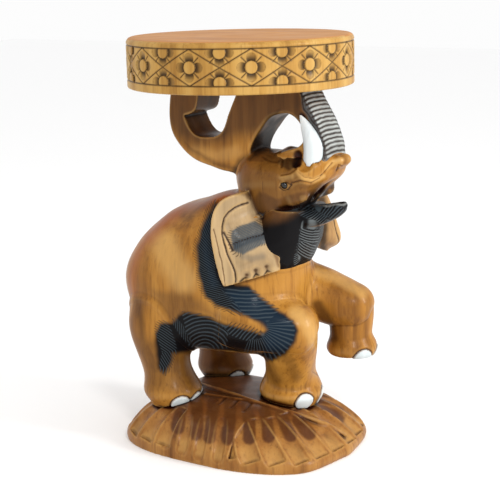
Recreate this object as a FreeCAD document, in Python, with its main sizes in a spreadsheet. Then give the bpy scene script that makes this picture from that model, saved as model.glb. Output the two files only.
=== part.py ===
import FreeCAD, Part
import math
import os
import Sketcher
from FreeCAD import Placement, Rotation, Vector

# Carved elephant stool. X runs towards the tusks, Y to the elephant's left, Z up.
# The origin is on the floor under the middle of the round seat.

os.makedirs("parts", exist_ok=True)
doc = FreeCAD.newDocument("elephant_stool")
sheet = doc.addObject("Spreadsheet::Sheet", "Sizes")

sizes = (
    # levels, each one a rise over the level below
    ("leaf_rise", 66),
    ("leg_rise", 159),
    ("neck_rise", 137),
    ("scroll_rise", 116),
    ("crown_rise", 10),
    # round seat with its carved rim
    ("seat_diameter", 300),
    ("seat_thickness", 65),
    ("seat_round", 7),
    ("rim_margin", 10),
    ("line_width", 2.4),
    ("line_depth", 1.8),
    ("lozenge_count", 12),
    ("lozenge_line", 1.6),
    ("lozenge_depth", 1.2),
    ("flower_radius", 15),
    ("button_radius", 6.5),
    ("flower_depth", 2.2),
    # trunk, an upright slab
    ("scroll_reach", 100),
    ("scroll_width", 54),
    ("scroll_round", 4),
    ("rib_count", 15),
    ("rib_radius", 1.6),
    # head
    ("head_length", 161),
    ("head_half_width", 50),
    ("head_up", 42),
    ("head_down", 56),
    ("head_back", 6),
    ("lip_rise", 30),
    # lower jaw and throat
    ("jaw_drop", 104),
    ("jaw_half_width", 58),
    ("throat_place", 66),
    ("throat_lean", 30),
    ("throat_height", 74),
    ("throat_depth", 36),
    ("lip_length", 76),
    ("lip_drop", 42),
    ("lip_lift", 20),
    ("lip_height", 15),
    # tusks
    ("tusk_length", 73),
    ("tusk_radius", 13.5),
    ("tusk_spread", 26),
    ("tusk_place", 124.5),
    ("tusk_over_head", 21),
    ("tusk_fit", 0.3),
    ("bay_radius", 20),
    ("bay_out", 27),
    ("bay_rise", 19),
    ("tenon_radius", 6),
    ("tenon_length", 38),
    # eyes
    ("eye_radius", 4.6),
    ("eye_place", 95),
    ("eye_over_head", 5),
    ("eye_spread", 46),
    ("eye_shank", 1.2),
    ("eye_shank_length", 12),
    # ears
    ("ear_height", 125),
    ("ear_breadth", 60),
    ("ear_thickness", 10),
    ("ear_place", 66),
    ("ear_root_side", 36),
    ("ear_drop", 124),
    # barrel of the body
    ("torso_length", 268),
    ("torso_back", 168),
    ("torso_half_width", 99),
    ("torso_up", 102),
    ("torso_down", 124),
    ("torso_tilt", 18),
    ("torso_drop", 36),
    # legs
    ("hindleg_radius", 38),
    ("hindfoot_back", 85),
    ("hindfoot_right", 58),
    ("hindfoot_left", 70),
    ("hindleg_height", 176),
    ("foreleg_radius", 35),
    ("forefoot_front", 60),
    ("forefoot_side", 18),
    ("foreleg_height", 120),
    ("raised_radius", 30),
    ("raised_front", 126),
    ("raised_side", 70),
    ("raised_height", 100),
    ("raised_drop", 101),
    # leaf
    ("leaf_front", 160),
    ("leaf_half_width", 124),
    ("leaf_border", 16),
    ("flute_count", 28),
    ("flute_radius", 24),
    ("flute_depth", 5.4),
    ("midrib_radius", 4),
    # dowels and their holes
    ("seat_dowel_radius", 8),
    ("seat_dowel_length", 46),
    ("seat_dowel_foot", 22),
    ("trunk_dowel_radius", 6),
    ("trunk_dowel_length", 44),
    ("neck_dowel_radius", 9),
    ("neck_dowel_length", 80),
    ("neck_dowel_rise", 4),
    ("jaw_dowel_radius", 5),
    ("jaw_dowel_length", 44),
    ("leg_dowel_radius", 8),
    ("leg_dowel_length", 76),
    ("foot_dowel_radius", 7),
    ("foot_dowel_length", 54),
    ("ear_peg_radius", 2.5),
    ("ear_peg_length", 34),
    ("ear_peg_depth", 10),
    ("dowel_fit", 0.2),
    ("dowel_end_fit", 0.5),
)

for place, (alias, amount) in enumerate(sizes, start=1):
    sheet.set("A%d" % place, alias)
    sheet.set("B%d" % place, str(amount))
    sheet.setAlias("B%d" % place, alias)
doc.recompute()


def size(alias):
    return float(sheet.get(alias))


def bind(thing, field, formula):
    thing.setExpression(field, formula)


# levels above the floor
leaf_level = size("leaf_rise")
body_level = leaf_level + size("leg_rise")
head_level = body_level + size("neck_rise")
crown_level = head_level + size("crown_rise")
seat_level = crown_level + size("scroll_rise")


def computed(label, shape):
    thing = doc.addObject("Part::Feature", label)
    thing.Shape = shape
    thing.Label = label
    return thing


def joined(label, pieces):
    thing = doc.addObject("Part::MultiFuse", label)
    thing.Shapes = pieces
    thing.Refine = False
    thing.Label = label
    return thing


def carved(label, block, tools):
    # each tool is taken off the block in turn, the last cut carries the name of the piece
    thing = block
    for turn, tool in enumerate(tools, start=1):
        name = label if turn == len(tools) else "%s_cut_%d" % (label, turn)
        step = doc.addObject("Part::Cut", name)
        step.Base = thing
        step.Tool = tool
        step.Refine = False
        step.Label = name
        thing = step
    return thing


def closed_curve(points):
    # even parameters, so that all the curves of one skin match point by point
    curve = Part.BSplineCurve()
    even = [float(step) for step in range(len(points) + 1)]
    curve.interpolate(points, PeriodicFlag=True, Parameters=even)
    return Part.Wire(curve.toShape())


def ring(centre, side, rise, left, right, up, down, power, count):
    # superellipse in the plane of two unit directions, with its own half size each way
    points = []
    for step in range(count):
        turn = 2 * math.pi * step / count - math.pi / 2
        across = math.copysign(abs(math.cos(turn)) ** (2 / power), math.cos(turn))
        along = math.copysign(abs(math.sin(turn)) ** (2 / power), math.sin(turn))
        half = right if across > 0 else left
        height = up if along > 0 else down
        points.append(centre + side * (across * half) + rise * (along * height))
    return closed_curve(points)


def skin(rings):
    return Part.makeLoft(rings, True, False)


sideways = Vector(0, 1, 0)
forward = Vector(1, 0, 0)
upright = Vector(0, 0, 1)
limb_points = 14


def path_normal(points, step):
    first = points[max(step - 1, 0)]
    last = points[min(step + 1, len(points) - 1)]
    return (last - first).normalize()


def round_ring(centre, side, rise, radius):
    return ring(centre, side, rise, radius, radius, radius, radius, 2, limb_points)


def limb(points, radii):
    # round sections square to the path, turned so that they keep facing sideways
    rings = []
    for step, centre in enumerate(points):
        heading = path_normal(points, step)
        rise = heading.cross(sideways).normalize()
        side = rise.cross(heading).normalize()
        rings.append(round_ring(centre, side, rise, radii[step]))
    return skin(rings)


# barrel of the body: along, half width, up and down, as shares of its own sizes
torso_shares = (
    (0.00, 0.10, 0.10, 0.10),
    (0.01, 0.36, 0.31, 0.32),
    (0.05, 0.59, 0.49, 0.48),
    (0.12, 0.79, 0.64, 0.62),
    (0.21, 0.92, 0.79, 0.72),
    (0.34, 0.99, 0.94, 0.80),
    (0.43, 1.00, 1.00, 0.85),
    (0.58, 0.99, 1.00, 0.94),
    (0.70, 0.93, 1.00, 1.00),
    (0.80, 0.81, 0.90, 0.93),
    (0.88, 0.64, 0.70, 0.73),
    (0.94, 0.45, 0.47, 0.48),
    (0.98, 0.27, 0.28, 0.28),
    (1.00, 0.10, 0.10, 0.10),
)
torso_power = 2.4
torso_points = 16
tilt = math.radians(size("torso_tilt"))
torso_axis = Vector(math.cos(tilt), 0, math.sin(tilt))
torso_rise = Vector(-math.sin(tilt), 0, math.cos(tilt))
torso_start = Vector(-size("torso_back"), 0, body_level - size("torso_drop"))


def torso_point(share):
    return torso_start + torso_axis * (share * size("torso_length"))


torso_rings = []
for along, side, up, down in torso_shares:
    half = side * size("torso_half_width")
    high = up * size("torso_up")
    low = down * size("torso_down")
    centre = torso_point(along)
    torso_rings.append(ring(centre, sideways, torso_rise, half, half, high, low, torso_power, torso_points))
torso_block = computed("torso_block", skin(torso_rings))

# head: along, rise of the middle, half width, up and down
head_shares = (
    (0.00, 0.13, 0.08, 0.12, 0.09),
    (0.01, 0.13, 0.18, 0.28, 0.18),
    (0.06, 0.10, 0.40, 0.57, 0.36),
    (0.12, 0.07, 0.64, 0.78, 0.57),
    (0.20, 0.03, 0.84, 0.95, 0.84),
    (0.31, 0.00, 0.96, 1.00, 1.00),
    (0.45, 0.03, 1.00, 0.96, 1.00),
    (0.58, 0.20, 0.98, 0.82, 0.82),
    (0.71, 0.40, 0.96, 0.68, 0.61),
    (0.83, 0.67, 0.86, 0.54, 0.39),
    (0.91, 0.83, 0.64, 0.42, 0.30),
    (0.96, 0.93, 0.36, 0.28, 0.20),
    (1.00, 1.00, 0.10, 0.10, 0.07),
)
head_power = 2.3
head_points = 16
head_rings = []
for along, lift, side, up, down in head_shares:
    x = along * size("head_length") - size("head_back")
    z = head_level + lift * size("lip_rise")
    half = side * size("head_half_width")
    high = up * size("head_up")
    low = down * size("head_down")
    centre = Vector(x, 0, z)
    head_rings.append(ring(centre, sideways, upright, half, half, high, low, head_power, head_points))
head_skull = computed("head_skull", skin(head_rings))

# throat: level sections, up, forward, half width and half depth
throat_shares = (
    (-0.08, 0.00, 0.72, 0.66),
    (0.00, 0.00, 0.86, 0.80),
    (0.18, 0.04, 0.96, 0.94),
    (0.38, 0.20, 1.00, 1.00),
    (0.60, 0.32, 0.95, 1.00),
    (0.80, 0.46, 0.88, 0.98),
    (1.00, 0.62, 0.78, 0.92),
)
# lower lip: upright sections, forward, rise of the middle, half width, half height
lip_shares = (
    (0.00, 0.00, 0.60, 0.72),
    (0.25, 0.02, 0.60, 0.84),
    (0.50, 0.12, 0.53, 0.92),
    (0.70, 0.34, 0.42, 0.82),
    (0.85, 0.58, 0.31, 0.70),
    (0.95, 0.76, 0.22, 0.54),
    (1.00, 0.84, 0.10, 0.24),
)
lip_start_share = 0.5
jaw_power = 2.2
jaw_points = 14
throat_rings = []
for up, ahead, side, front in throat_shares:
    x = size("throat_place") + ahead * size("throat_lean")
    z = head_level - size("jaw_drop") + up * size("throat_height")
    half = side * size("jaw_half_width")
    deep = front * size("throat_depth")
    centre = Vector(x, 0, z)
    throat_rings.append(ring(centre, sideways, forward, half, half, deep, deep, jaw_power, jaw_points))
lip_rings = []
for ahead, lift, side, tall in lip_shares:
    x = size("throat_place") + size("throat_lean") * lip_start_share + ahead * size("lip_length")
    z = head_level - size("lip_drop") + lift * size("lip_lift")
    half = side * size("jaw_half_width")
    high = tall * size("lip_height")
    centre = Vector(x, 0, z)
    lip_rings.append(ring(centre, sideways, upright, half, half, high, high, jaw_power, jaw_points))
throat = computed("throat", skin(throat_rings))
lower_lip = computed("lower_lip", skin(lip_rings))
jaw_block = joined("jaw_block", [throat, lower_lip])

# trunk: outline of the scroll in shares of its reach and of its rise over the crown
curl_shares = (
    (-0.97, 1.00),
    (-1.01, 0.69),
    (-1.01, 0.57),
    (-0.97, 0.43),
    (-0.89, 0.32),
    (-0.76, 0.21),
    (-0.58, 0.12),
    (-0.37, 0.07),
    (-0.17, 0.03),
    (0.07, 0.00),
    (0.24, -0.05),
)
arch_shares = (
    (0.40, 0.07),
    (0.29, 0.26),
    (0.36, 0.41),
    (0.48, 0.55),
    (0.60, 0.66),
    (0.76, 0.71),
    (0.86, 0.72),
    (1.01, 0.66),
    (1.08, 0.58),
    (1.11, 0.52),
    (1.10, 0.43),
    (1.00, 0.35),
    (0.88, 0.32),
    (0.75, 0.27),
    (0.70, 0.11),
)
front_shares = (
    (1.40, 0.07),
    (1.43, 0.20),
    (1.44, 0.34),
    (1.39, 0.49),
    (1.32, 0.62),
    (1.23, 0.75),
    (1.13, 0.90),
    (1.08, 1.00),
)
bay_shares = (
    (0.14, 1.00),
    (0.08, 0.88),
    (-0.04, 0.66),
    (-0.16, 0.46),
    (-0.24, 0.42),
    (-0.40, 0.40),
    (-0.55, 0.41),
    (-0.65, 0.47),
    (-0.71, 0.55),
    (-0.76, 0.64),
)
tip_shares = (
    (-0.76, 0.64),
    (-0.67, 0.66),
    (-0.57, 0.71),
    (-0.54, 0.77),
    (-0.52, 0.85),
    (-0.51, 1.00),
)


def scroll_point(share):
    across, up = share
    return Vector(across * size("scroll_reach"), 0, crown_level + up * size("scroll_rise"))


def open_curve(points):
    curve = Part.BSplineCurve()
    curve.interpolate(points)
    return curve.toShape()


def straight(first, last):
    return Part.LineSegment(first, last).toShape()


curl_line = [scroll_point(share) for share in curl_shares]
arch_line = [scroll_point(share) for share in arch_shares]
front_line = [scroll_point(share) for share in front_shares]
bay_line = [scroll_point(share) for share in bay_shares]
tip_line = [scroll_point(share) for share in tip_shares]
scroll_edges = [
    open_curve(curl_line),
    straight(curl_line[-1], arch_line[0]),
    open_curve(arch_line),
    straight(arch_line[-1], front_line[0]),
    open_curve(front_line),
    straight(front_line[-1], bay_line[0]),
    open_curve(bay_line),
    open_curve(tip_line),
    straight(tip_line[-1], curl_line[0]),
]
half_scroll = size("scroll_width") / 2
scroll_face = Part.Face(Part.Wire(scroll_edges))
scroll_slab = scroll_face.extrude(Vector(0, size("scroll_width"), 0))
scroll_slab.translate(Vector(0, -half_scroll, 0))
long_edge_share = 0.9
for line in (curl_line, arch_line, front_line):
    # round both long edges that start where this line starts
    long_edges = []
    for edge in scroll_slab.Edges:
        flat = edge.BoundBox.YLength < size("scroll_round")
        along_line = flat and edge.Length > size("scroll_rise") * long_edge_share
        ends = [Vector(vertex.Point.x, 0, vertex.Point.z) for vertex in edge.Vertexes]
        if along_line and min((end - line[0]).Length for end in ends) < size("scroll_round"):
            long_edges.append(edge)
    scroll_slab = scroll_slab.makeFillet(size("scroll_round"), long_edges)
scroll_block = computed("scroll_block", scroll_slab)

# ribs across the front of the trunk
front_curve = Part.BSplineCurve()
front_curve.interpolate(front_line)
rib_tools = []
first_rib_share = 0.24
rib_run_share = 0.74
for step in range(int(size("rib_count"))):
    share = first_rib_share + rib_run_share * step / size("rib_count")
    place = front_curve.value(front_curve.parameterAtDistance(share * front_curve.length()))
    start = place - sideways * half_scroll
    rib_tools.append(Part.makeCylinder(size("rib_radius"), size("scroll_width"), start, sideways))
rib_cutters = computed("rib_cutters", Part.makeCompound(rib_tools))

# tusks, each in a groove of the trunk, with a bay in the side of the lip below it
tusk_shares = (
    # up, ahead, out, thickness
    (0.00, -0.02, 0.000, 0.80),
    (0.12, 0.00, 0.000, 0.93),
    (0.34, 0.03, 0.000, 1.00),
    (0.55, 0.01, 0.010, 0.92),
    (0.72, -0.05, 0.030, 0.72),
    (0.87, -0.12, 0.050, 0.44),
    (0.96, -0.17, 0.065, 0.21),
    (1.00, -0.20, 0.070, 0.07),
)
tusk_flat_share = 0.85
tenon_top_share = 0.3


def tusk_rings(side, extra):
    rings = []
    root = head_level + size("tusk_over_head")
    for up, ahead, out, thick in tusk_shares:
        centre = Vector(
            size("tusk_place") + ahead * size("tusk_length"),
            side * (size("tusk_spread") + out * size("tusk_length")),
            root + up * size("tusk_length"),
        )
        radius = thick * size("tusk_radius") + extra
        narrow = radius * tusk_flat_share
        rings.append(ring(centre, sideways, forward, narrow, narrow, radius, radius, 2, limb_points))
    return rings


tusk_blocks = {}
tusk_grooves = []
bays = []
tenons = {}
tenon_holes = []
for name, side in (("tusk_right", -1), ("tusk_left", 1)):
    tusk_blocks[name] = computed(name + "_block", skin(tusk_rings(side, 0)))
    tusk_grooves.append(computed(name + "_groove", skin(tusk_rings(side, size("tusk_fit")))))
    root = Vector(size("tusk_place"), side * size("tusk_spread"), head_level + size("tusk_over_head"))
    bay_centre = root + sideways * (side * size("bay_out")) + upright * size("bay_rise")
    bays.append(computed(name + "_bay", Part.makeSphere(size("bay_radius"), bay_centre)))
    tenon_top = root + upright * (size("tusk_length") * tenon_top_share)
    tenon = doc.addObject("Part::Cylinder", name + "_tenon")
    bind(tenon, "Radius", "Sizes.tenon_radius")
    bind(tenon, "Height", "Sizes.tenon_length")
    tenon.Placement = Placement(tenon_top - upright * size("tenon_length"), Rotation())
    tenons[name] = tenon
    hole = doc.addObject("Part::Cylinder", name + "_mortise")
    bind(hole, "Radius", "Sizes.tenon_radius + Sizes.dowel_fit")
    bind(hole, "Height", "Sizes.tenon_length + 2 * Sizes.dowel_end_fit")
    hole_start = tenon_top - upright * (size("tenon_length") + size("dowel_end_fit"))
    hole.Placement = Placement(hole_start, Rotation())
    tenon_holes.append(hole)

# eyes: a bead with a shank
eyes = {}
eye_holes = []
for name, side in (("eye_right", -1), ("eye_left", 1)):
    centre = Vector(size("eye_place"), side * size("eye_spread"), head_level + size("eye_over_head"))
    inward = Vector(0, -side, 0)
    bead = Part.makeSphere(size("eye_radius"), centre)
    shank = Part.makeCylinder(size("eye_shank"), size("eye_shank_length"), centre, inward)
    eyes[name] = computed(name, bead.fuse(shank).removeSplitter())
    wide = Part.makeSphere(size("eye_radius") + size("dowel_fit"), centre)
    bore_length = size("eye_shank_length") + size("dowel_end_fit")
    bore = Part.makeCylinder(size("eye_shank") + size("dowel_fit"), bore_length, centre, inward)
    eye_holes.append(computed(name + "_hole", wide.fuse(bore)))

# ears: each row runs from the root on the head to the free edge, in shares of the ear's sizes
# root: ahead, out, up; free edge: ahead, out, up; thickness
ear_right_shares = (
    (-0.44, 0.10, 0.94, -0.52, 0.50, 0.94, 0.60),
    (-0.40, 0.10, 0.87, -0.58, 0.88, 0.91, 0.85),
    (-0.33, 0.08, 0.78, -0.72, 1.08, 0.80, 1.00),
    (-0.20, 0.09, 0.67, -0.78, 1.15, 0.62, 1.00),
    (0.08, 0.14, 0.52, -0.75, 1.17, 0.43, 1.00),
    (0.26, 0.18, 0.38, -0.67, 1.15, 0.22, 1.00),
    (0.36, 0.22, 0.23, -0.58, 1.12, 0.06, 0.90),
    (0.37, 0.24, 0.14, -0.53, 1.08, 0.00, 0.60),
)
ear_left_shares = (
    (-0.07, 0.05, 0.96, -0.10, 0.47, 0.97, 0.60),
    (-0.07, 0.03, 0.88, -0.03, 0.80, 0.86, 0.85),
    (0.00, 0.02, 0.78, 0.08, 1.02, 0.75, 1.00),
    (0.10, 0.10, 0.66, 0.22, 1.07, 0.59, 1.00),
    (0.23, 0.19, 0.52, 0.35, 1.08, 0.42, 1.00),
    (0.27, 0.21, 0.40, 0.43, 1.07, 0.26, 1.00),
    (0.20, 0.22, 0.30, 0.30, 1.03, 0.17, 0.90),
    (0.14, 0.30, 0.22, 0.14, 0.97, 0.11, 0.60),
)
ear_floor = head_level - size("ear_drop")
ear_power = 2.3
ear_points = 16


def ear_row(side, row):
    # the two ends of one row: the root on the head and the free edge
    root_x, root_y, root_z, free_x, free_y, free_z = row[:6]
    reach = size("ear_breadth")
    root = Vector(
        size("ear_place") + root_x * reach,
        side * (size("ear_root_side") + root_y * reach),
        ear_floor + root_z * size("ear_height"),
    )
    free = Vector(
        size("ear_place") + free_x * reach,
        side * (size("ear_root_side") + free_y * reach),
        ear_floor + free_z * size("ear_height"),
    )
    return root, free


def ear_rings(side, rows):
    rings = []
    for row in rows:
        root, free = ear_row(side, row)
        middle = (free + root) * 0.5
        long = (free - root).Length / 2
        direction = (free - root).normalize()
        thin = direction.cross(upright).normalize()
        half = row[-1] * size("ear_thickness") / 2
        rings.append(ring(middle, direction, thin, long, long, half, half, ear_power, ear_points))
    return rings


ear_blocks = {
    "ear_right": computed("ear_right_block", skin(ear_rings(-1, ear_right_shares))),
    "ear_left": computed("ear_left_block", skin(ear_rings(1, ear_left_shares))),
}

# hind legs: up, back and out, radius, as shares of the height and radius of the leg
hind_shares = (
    (-0.13, 0.00, 0.00, 0.97),
    (0.00, 0.00, 0.00, 1.02),
    (0.08, 0.05, 0.01, 1.00),
    (0.15, 0.14, 0.03, 0.90),
    (0.23, 0.25, 0.05, 0.88),
    (0.36, 0.34, 0.04, 1.02),
    (0.50, 0.36, -0.02, 1.22),
    (0.64, 0.30, -0.16, 1.34),
    (0.78, 0.18, -0.32, 1.28),
    (0.92, 0.05, -0.45, 0.94),
)


def hind_limb(side, out):
    points = []
    radii = []
    for up, back, spread, thick in hind_shares:
        radius = size("hindleg_radius")
        x = -size("hindfoot_back") - back * radius
        y = side * (out + spread * radius)
        points.append(Vector(x, y, leaf_level + up * size("hindleg_height")))
        radii.append(thick * radius)
    return limb_level(points, radii)


def limb_level(points, radii):
    # level round sections, for a limb that stands
    rings = []
    for centre, radius in zip(points, radii):
        rings.append(round_ring(centre, forward, sideways, radius))
    return skin(rings)


hind_blocks = {
    "hindleg_right": computed("hindleg_right_block", hind_limb(-1, size("hindfoot_right"))),
    "hindleg_left": computed("hindleg_left_block", hind_limb(1, size("hindfoot_left"))),
}

# forelegs: ahead, out and up from the sole, radius; a shin and an upper arm meet at each knee
# standing one, its foot is under the middle of the body
standing_shin_shares = (
    (0.00, 0.00, -0.17, 1.06),
    (0.00, 0.00, 0.00, 1.20),
    (0.00, 0.00, 0.12, 1.17),
    (0.06, -0.09, 0.24, 1.00),
    (0.17, -0.29, 0.37, 0.97),
    (0.37, -0.60, 0.53, 0.99),
    (0.60, -0.94, 0.71, 1.01),
    (0.74, -1.20, 0.87, 1.03),
    (0.80, -1.31, 1.00, 0.91),
    (0.83, -1.37, 1.11, 0.60),
    (0.83, -1.40, 1.15, 0.23),
)
standing_arm_shares = (
    (1.74, -0.91, 0.83, 0.23),
    (1.63, -0.97, 0.84, 0.63),
    (1.40, -1.09, 0.86, 0.89),
    (0.91, -1.31, 0.89, 1.03),
    (0.23, -1.66, 0.93, 1.06),
    (-0.57, -2.03, 0.98, 1.09),
    (-1.37, -2.29, 1.02, 0.97),
)
# raised one, bent at the knee, its foot in the air
raised_shin_shares = (
    (0.00, 0.00, -0.04, 1.03),
    (0.00, 0.00, 0.00, 1.13),
    (0.00, 0.00, 0.10, 1.13),
    (-0.03, 0.00, 0.21, 0.98),
    (-0.03, 0.00, 0.32, 0.98),
    (-0.03, 0.03, 0.46, 1.02),
    (-0.07, 0.07, 0.61, 1.03),
    (-0.13, 0.07, 0.75, 0.93),
    (-0.20, 0.07, 0.86, 0.63),
    (-0.23, 0.07, 0.91, 0.27),
)
raised_arm_shares = (
    (0.97, 0.00, 0.55, 0.27),
    (0.87, -0.03, 0.56, 0.63),
    (0.60, -0.07, 0.59, 0.93),
    (0.07, -0.17, 0.63, 1.10),
    (-0.73, -0.30, 0.70, 1.20),
    (-1.60, -0.50, 0.78, 1.27),
    (-2.53, -0.80, 0.87, 1.33),
)


def limb_path(shares, foot, height, radius):
    points = []
    radii = []
    for ahead, spread, up, thick in shares:
        points.append(foot + Vector(ahead * radius, spread * radius, up * height))
        radii.append(thick * radius)
    return points, radii


def fore_limb(label, shin_shares, arm_shares, foot, height, radius):
    shin = computed(label + "_shin", limb(*limb_path(shin_shares, foot, height, radius)))
    arm_points, arm_radii = limb_path(arm_shares, foot, height, radius)
    arm = computed(label + "_arm", limb(arm_points, arm_radii))
    return joined(label + "_block", [shin, arm]), arm_points


standing_foot = Vector(size("forefoot_front"), size("forefoot_side"), leaf_level)
foreleg_right_block, standing_arm = fore_limb(
    "foreleg_right", standing_shin_shares, standing_arm_shares, standing_foot,
    size("foreleg_height"), size("foreleg_radius"),
)
raised_foot = Vector(size("raised_front"), size("raised_side"), body_level - size("raised_drop"))
foreleg_left_block, raised_arm = fore_limb(
    "foreleg_left", raised_shin_shares, raised_arm_shares, raised_foot,
    size("raised_height"), size("raised_radius"),
)

# leaf: half outline from the tip to the stalk end, in shares of its own half sizes
leaf_outline_shares = (
    (1.00, -0.06),
    (0.97, -0.32),
    (0.91, -0.65),
    (0.77, -0.84),
    (0.60, -0.95),
    (0.25, -1.05),
    (-0.25, -1.05),
    (-0.54, -1.00),
    (-0.74, -0.90),
    (-0.90, -0.70),
    (-0.96, -0.36),
    (-0.97, 0.00),
    (-0.95, 0.36),
    (-0.88, 0.68),
    (-0.72, 0.86),
    (-0.52, 0.95),
    (-0.25, 0.98),
    (0.25, 0.97),
    (0.58, 0.91),
    (0.77, 0.79),
    (0.90, 0.58),
    (0.97, 0.24),
)
leaf_lean_share = 0.22
leaf_level_shares = (
    (0.00, 1.00, 1.00),
    (0.22, 1.00, 1.00),
    (0.38, 0.94, 0.97),
    (0.55, 0.86, 0.91),
    (0.71, 0.76, 0.82),
    (0.84, 0.63, 0.69),
    (0.93, 0.47, 0.53),
    (0.98, 0.27, 0.31),
    (1.00, 0.07, 0.08),
)


def leaf_point(share, up, long_spread, wide_spread):
    along, out = share
    return Vector(
        (along * long_spread - leaf_lean_share * (1 - long_spread)) * size("leaf_front"),
        out * size("leaf_half_width") * wide_spread,
        up * size("leaf_rise"),
    )


leaf_rings = []
for up, long_spread, wide_spread in leaf_level_shares:
    points = [leaf_point(share, up, long_spread, wide_spread) for share in leaf_outline_shares]
    leaf_rings.append(closed_curve(points))
leaf_dome = computed("leaf_dome", skin(leaf_rings))


# gouged flutes stand evenly along the border and run up the dome; each one is cut by a round
# gouge that lies over the wood by less than its radius
flute_stations = (
    # row of the dome, and how much of the gouge's depth is reached there
    (5, 0.40),
    (3, 0.90),
    (1, 1.00),
)
first_flute_share = 0.4
outline_curve = leaf_rings[1].Edges[0]
flute_sets = 4
flute_tools = [[] for turn in range(flute_sets)]
for step in range(int(size("flute_count"))):
    run_length = outline_curve.Length * (step + first_flute_share) / size("flute_count")
    share = outline_curve.getParameterByLength(run_length) / len(leaf_outline_shares)
    path = []
    for row, bite_share in flute_stations:
        ring_edge = leaf_rings[row].Edges[0]
        place = ring_edge.valueAt(share * len(leaf_outline_shares))
        level = leaf_rings[row + 1].Edges[0].valueAt(share * len(leaf_outline_shares))
        slope = (level - place).normalize()
        run_side = ring_edge.tangentAt(share * len(leaf_outline_shares))
        outward = run_side.cross(slope).normalize()
        if outward.dot(Vector(place.x, place.y, place.z)) < 0:
            outward = -outward
        path.append(place + outward * (size("flute_radius") - bite_share * size("flute_depth")))
    run = Part.Arc(*path)
    tangent = run.tangent(run.FirstParameter)[0]
    mouth = Part.Circle(path[0], tangent, size("flute_radius")).toShape()
    tool = Part.Wire([run.toShape()]).makePipe(Part.Face(Part.Wire([mouth])))
    flute_tools[step % flute_sets].append(tool)
# neighbouring gouges overlap, so they are in different sets
flute_cutters = []
for turn, tools in enumerate(flute_tools, start=1):
    flute_cutters.append(computed("flute_cutters_%d" % turn, Part.makeCompound(tools)))


def dome_level(along, wide):
    # height of the dome over a place given in shares of the leaf's half sizes
    for low, high in zip(leaf_level_shares, leaf_level_shares[1:]):
        outer = math.hypot((along + leaf_lean_share * (1 - low[1])) / low[1], wide / low[2])
        inner = math.hypot((along + leaf_lean_share * (1 - high[1])) / high[1], wide / high[2])
        if outer <= 1 < inner:
            part = (1 - outer) / (inner - outer)
            return (low[0] + part * (high[0] - low[0])) * size("leaf_rise")
    return size("leaf_rise")


midrib_shares = (
    (-0.80, 0.02, 0.5),
    (-0.50, -0.05, 0.9),
    (-0.20, -0.18, 1.0),
    (0.10, -0.25, 1.0),
    (0.35, -0.27, 0.9),
    (0.60, -0.22, 0.9),
    (0.80, -0.14, 0.7),
    (0.92, -0.08, 0.5),
)
rib_path = []
rib_sizes = []
for along, out, thick in midrib_shares:
    level = dome_level(along, out)
    rib_path.append(Vector(along * size("leaf_front"), out * size("leaf_half_width"), level))
    rib_sizes.append(thick * size("midrib_radius"))
midrib = computed("midrib", limb(rib_path, rib_sizes))


# dowels and the holes they sit in
def peg(label, radius, length, place, heading):
    thing = doc.addObject("Part::Cylinder", label)
    thing.Label = label
    bind(thing, "Radius", "Sizes.%s" % radius)
    bind(thing, "Height", "Sizes.%s" % length)
    thing.Placement = Placement(place, Rotation(Vector(0, 0, 1), heading))
    return thing


def peg_hole(label, radius, length, place, heading):
    thing = doc.addObject("Part::Cylinder", label)
    thing.Label = label
    bind(thing, "Radius", "Sizes.%s + Sizes.dowel_fit" % radius)
    bind(thing, "Height", "Sizes.%s + 2 * Sizes.dowel_end_fit" % length)
    start = place - Vector(heading).normalize() * size("dowel_end_fit")
    thing.Placement = Placement(start, Rotation(Vector(0, 0, 1), heading))
    return thing


def peg_set(label, radius, length, places):
    pegs = []
    holes = []
    for turn, (place, heading) in enumerate(places, start=1):
        pegs.append(peg("%s_%d" % (label, turn), radius, length, place, heading))
        holes.append(peg_hole("%s_hole_%d" % (label, turn), radius, length, place, heading))
    if len(pegs) == 1:
        pegs[0].Label = label
        return pegs[0], holes
    group = doc.addObject("Part::Compound", label)
    group.Links = pegs
    group.Label = label
    return group, holes


seat_foot = seat_level - size("seat_dowel_foot")
curl_dowel_share = (-0.76, 0)
arch_dowel_share = (0.57, 0)
seat_places = []
for share in (curl_dowel_share, arch_dowel_share):
    place = scroll_point(share)
    place.z = seat_foot
    seat_places.append((place, upright))
seat_dowels, seat_holes = peg_set("seat_dowels", "seat_dowel_radius", "seat_dowel_length", seat_places)
half_trunk_dowel = upright * (size("trunk_dowel_length") / 2)
column_dowel_share = (0.18, 0.22)
lip_dowel_share = (1.27, 0.28)
trunk_places = []
for share in (column_dowel_share, lip_dowel_share):
    trunk_places.append((scroll_point(share) - half_trunk_dowel, upright))
trunk_dowels, trunk_holes = peg_set(
    "trunk_dowels", "trunk_dowel_radius", "trunk_dowel_length", trunk_places,
)
neck_share = 0.76
neck_place = torso_point(neck_share)
neck_place.z = head_level + size("neck_dowel_rise") - size("neck_dowel_length")
neck_dowel, neck_holes = peg_set(
    "neck_dowel", "neck_dowel_radius", "neck_dowel_length",
    [(neck_place, upright)],
)
jaw_place = Vector(size("throat_place") + size("throat_lean"), 0, head_level - size("head_down"))
jaw_dowel, jaw_holes = peg_set("jaw_dowel", "jaw_dowel_radius", "jaw_dowel_length", [(jaw_place, upright)])
hip_share = 0.24
thigh_share = 0.30
hip_level = leaf_level + hip_share * size("hindleg_height")
hip_back = size("hindfoot_back") + thigh_share * size("hindleg_radius")
foreleg_start = standing_arm[3]
raised_start = raised_arm[3]
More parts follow.
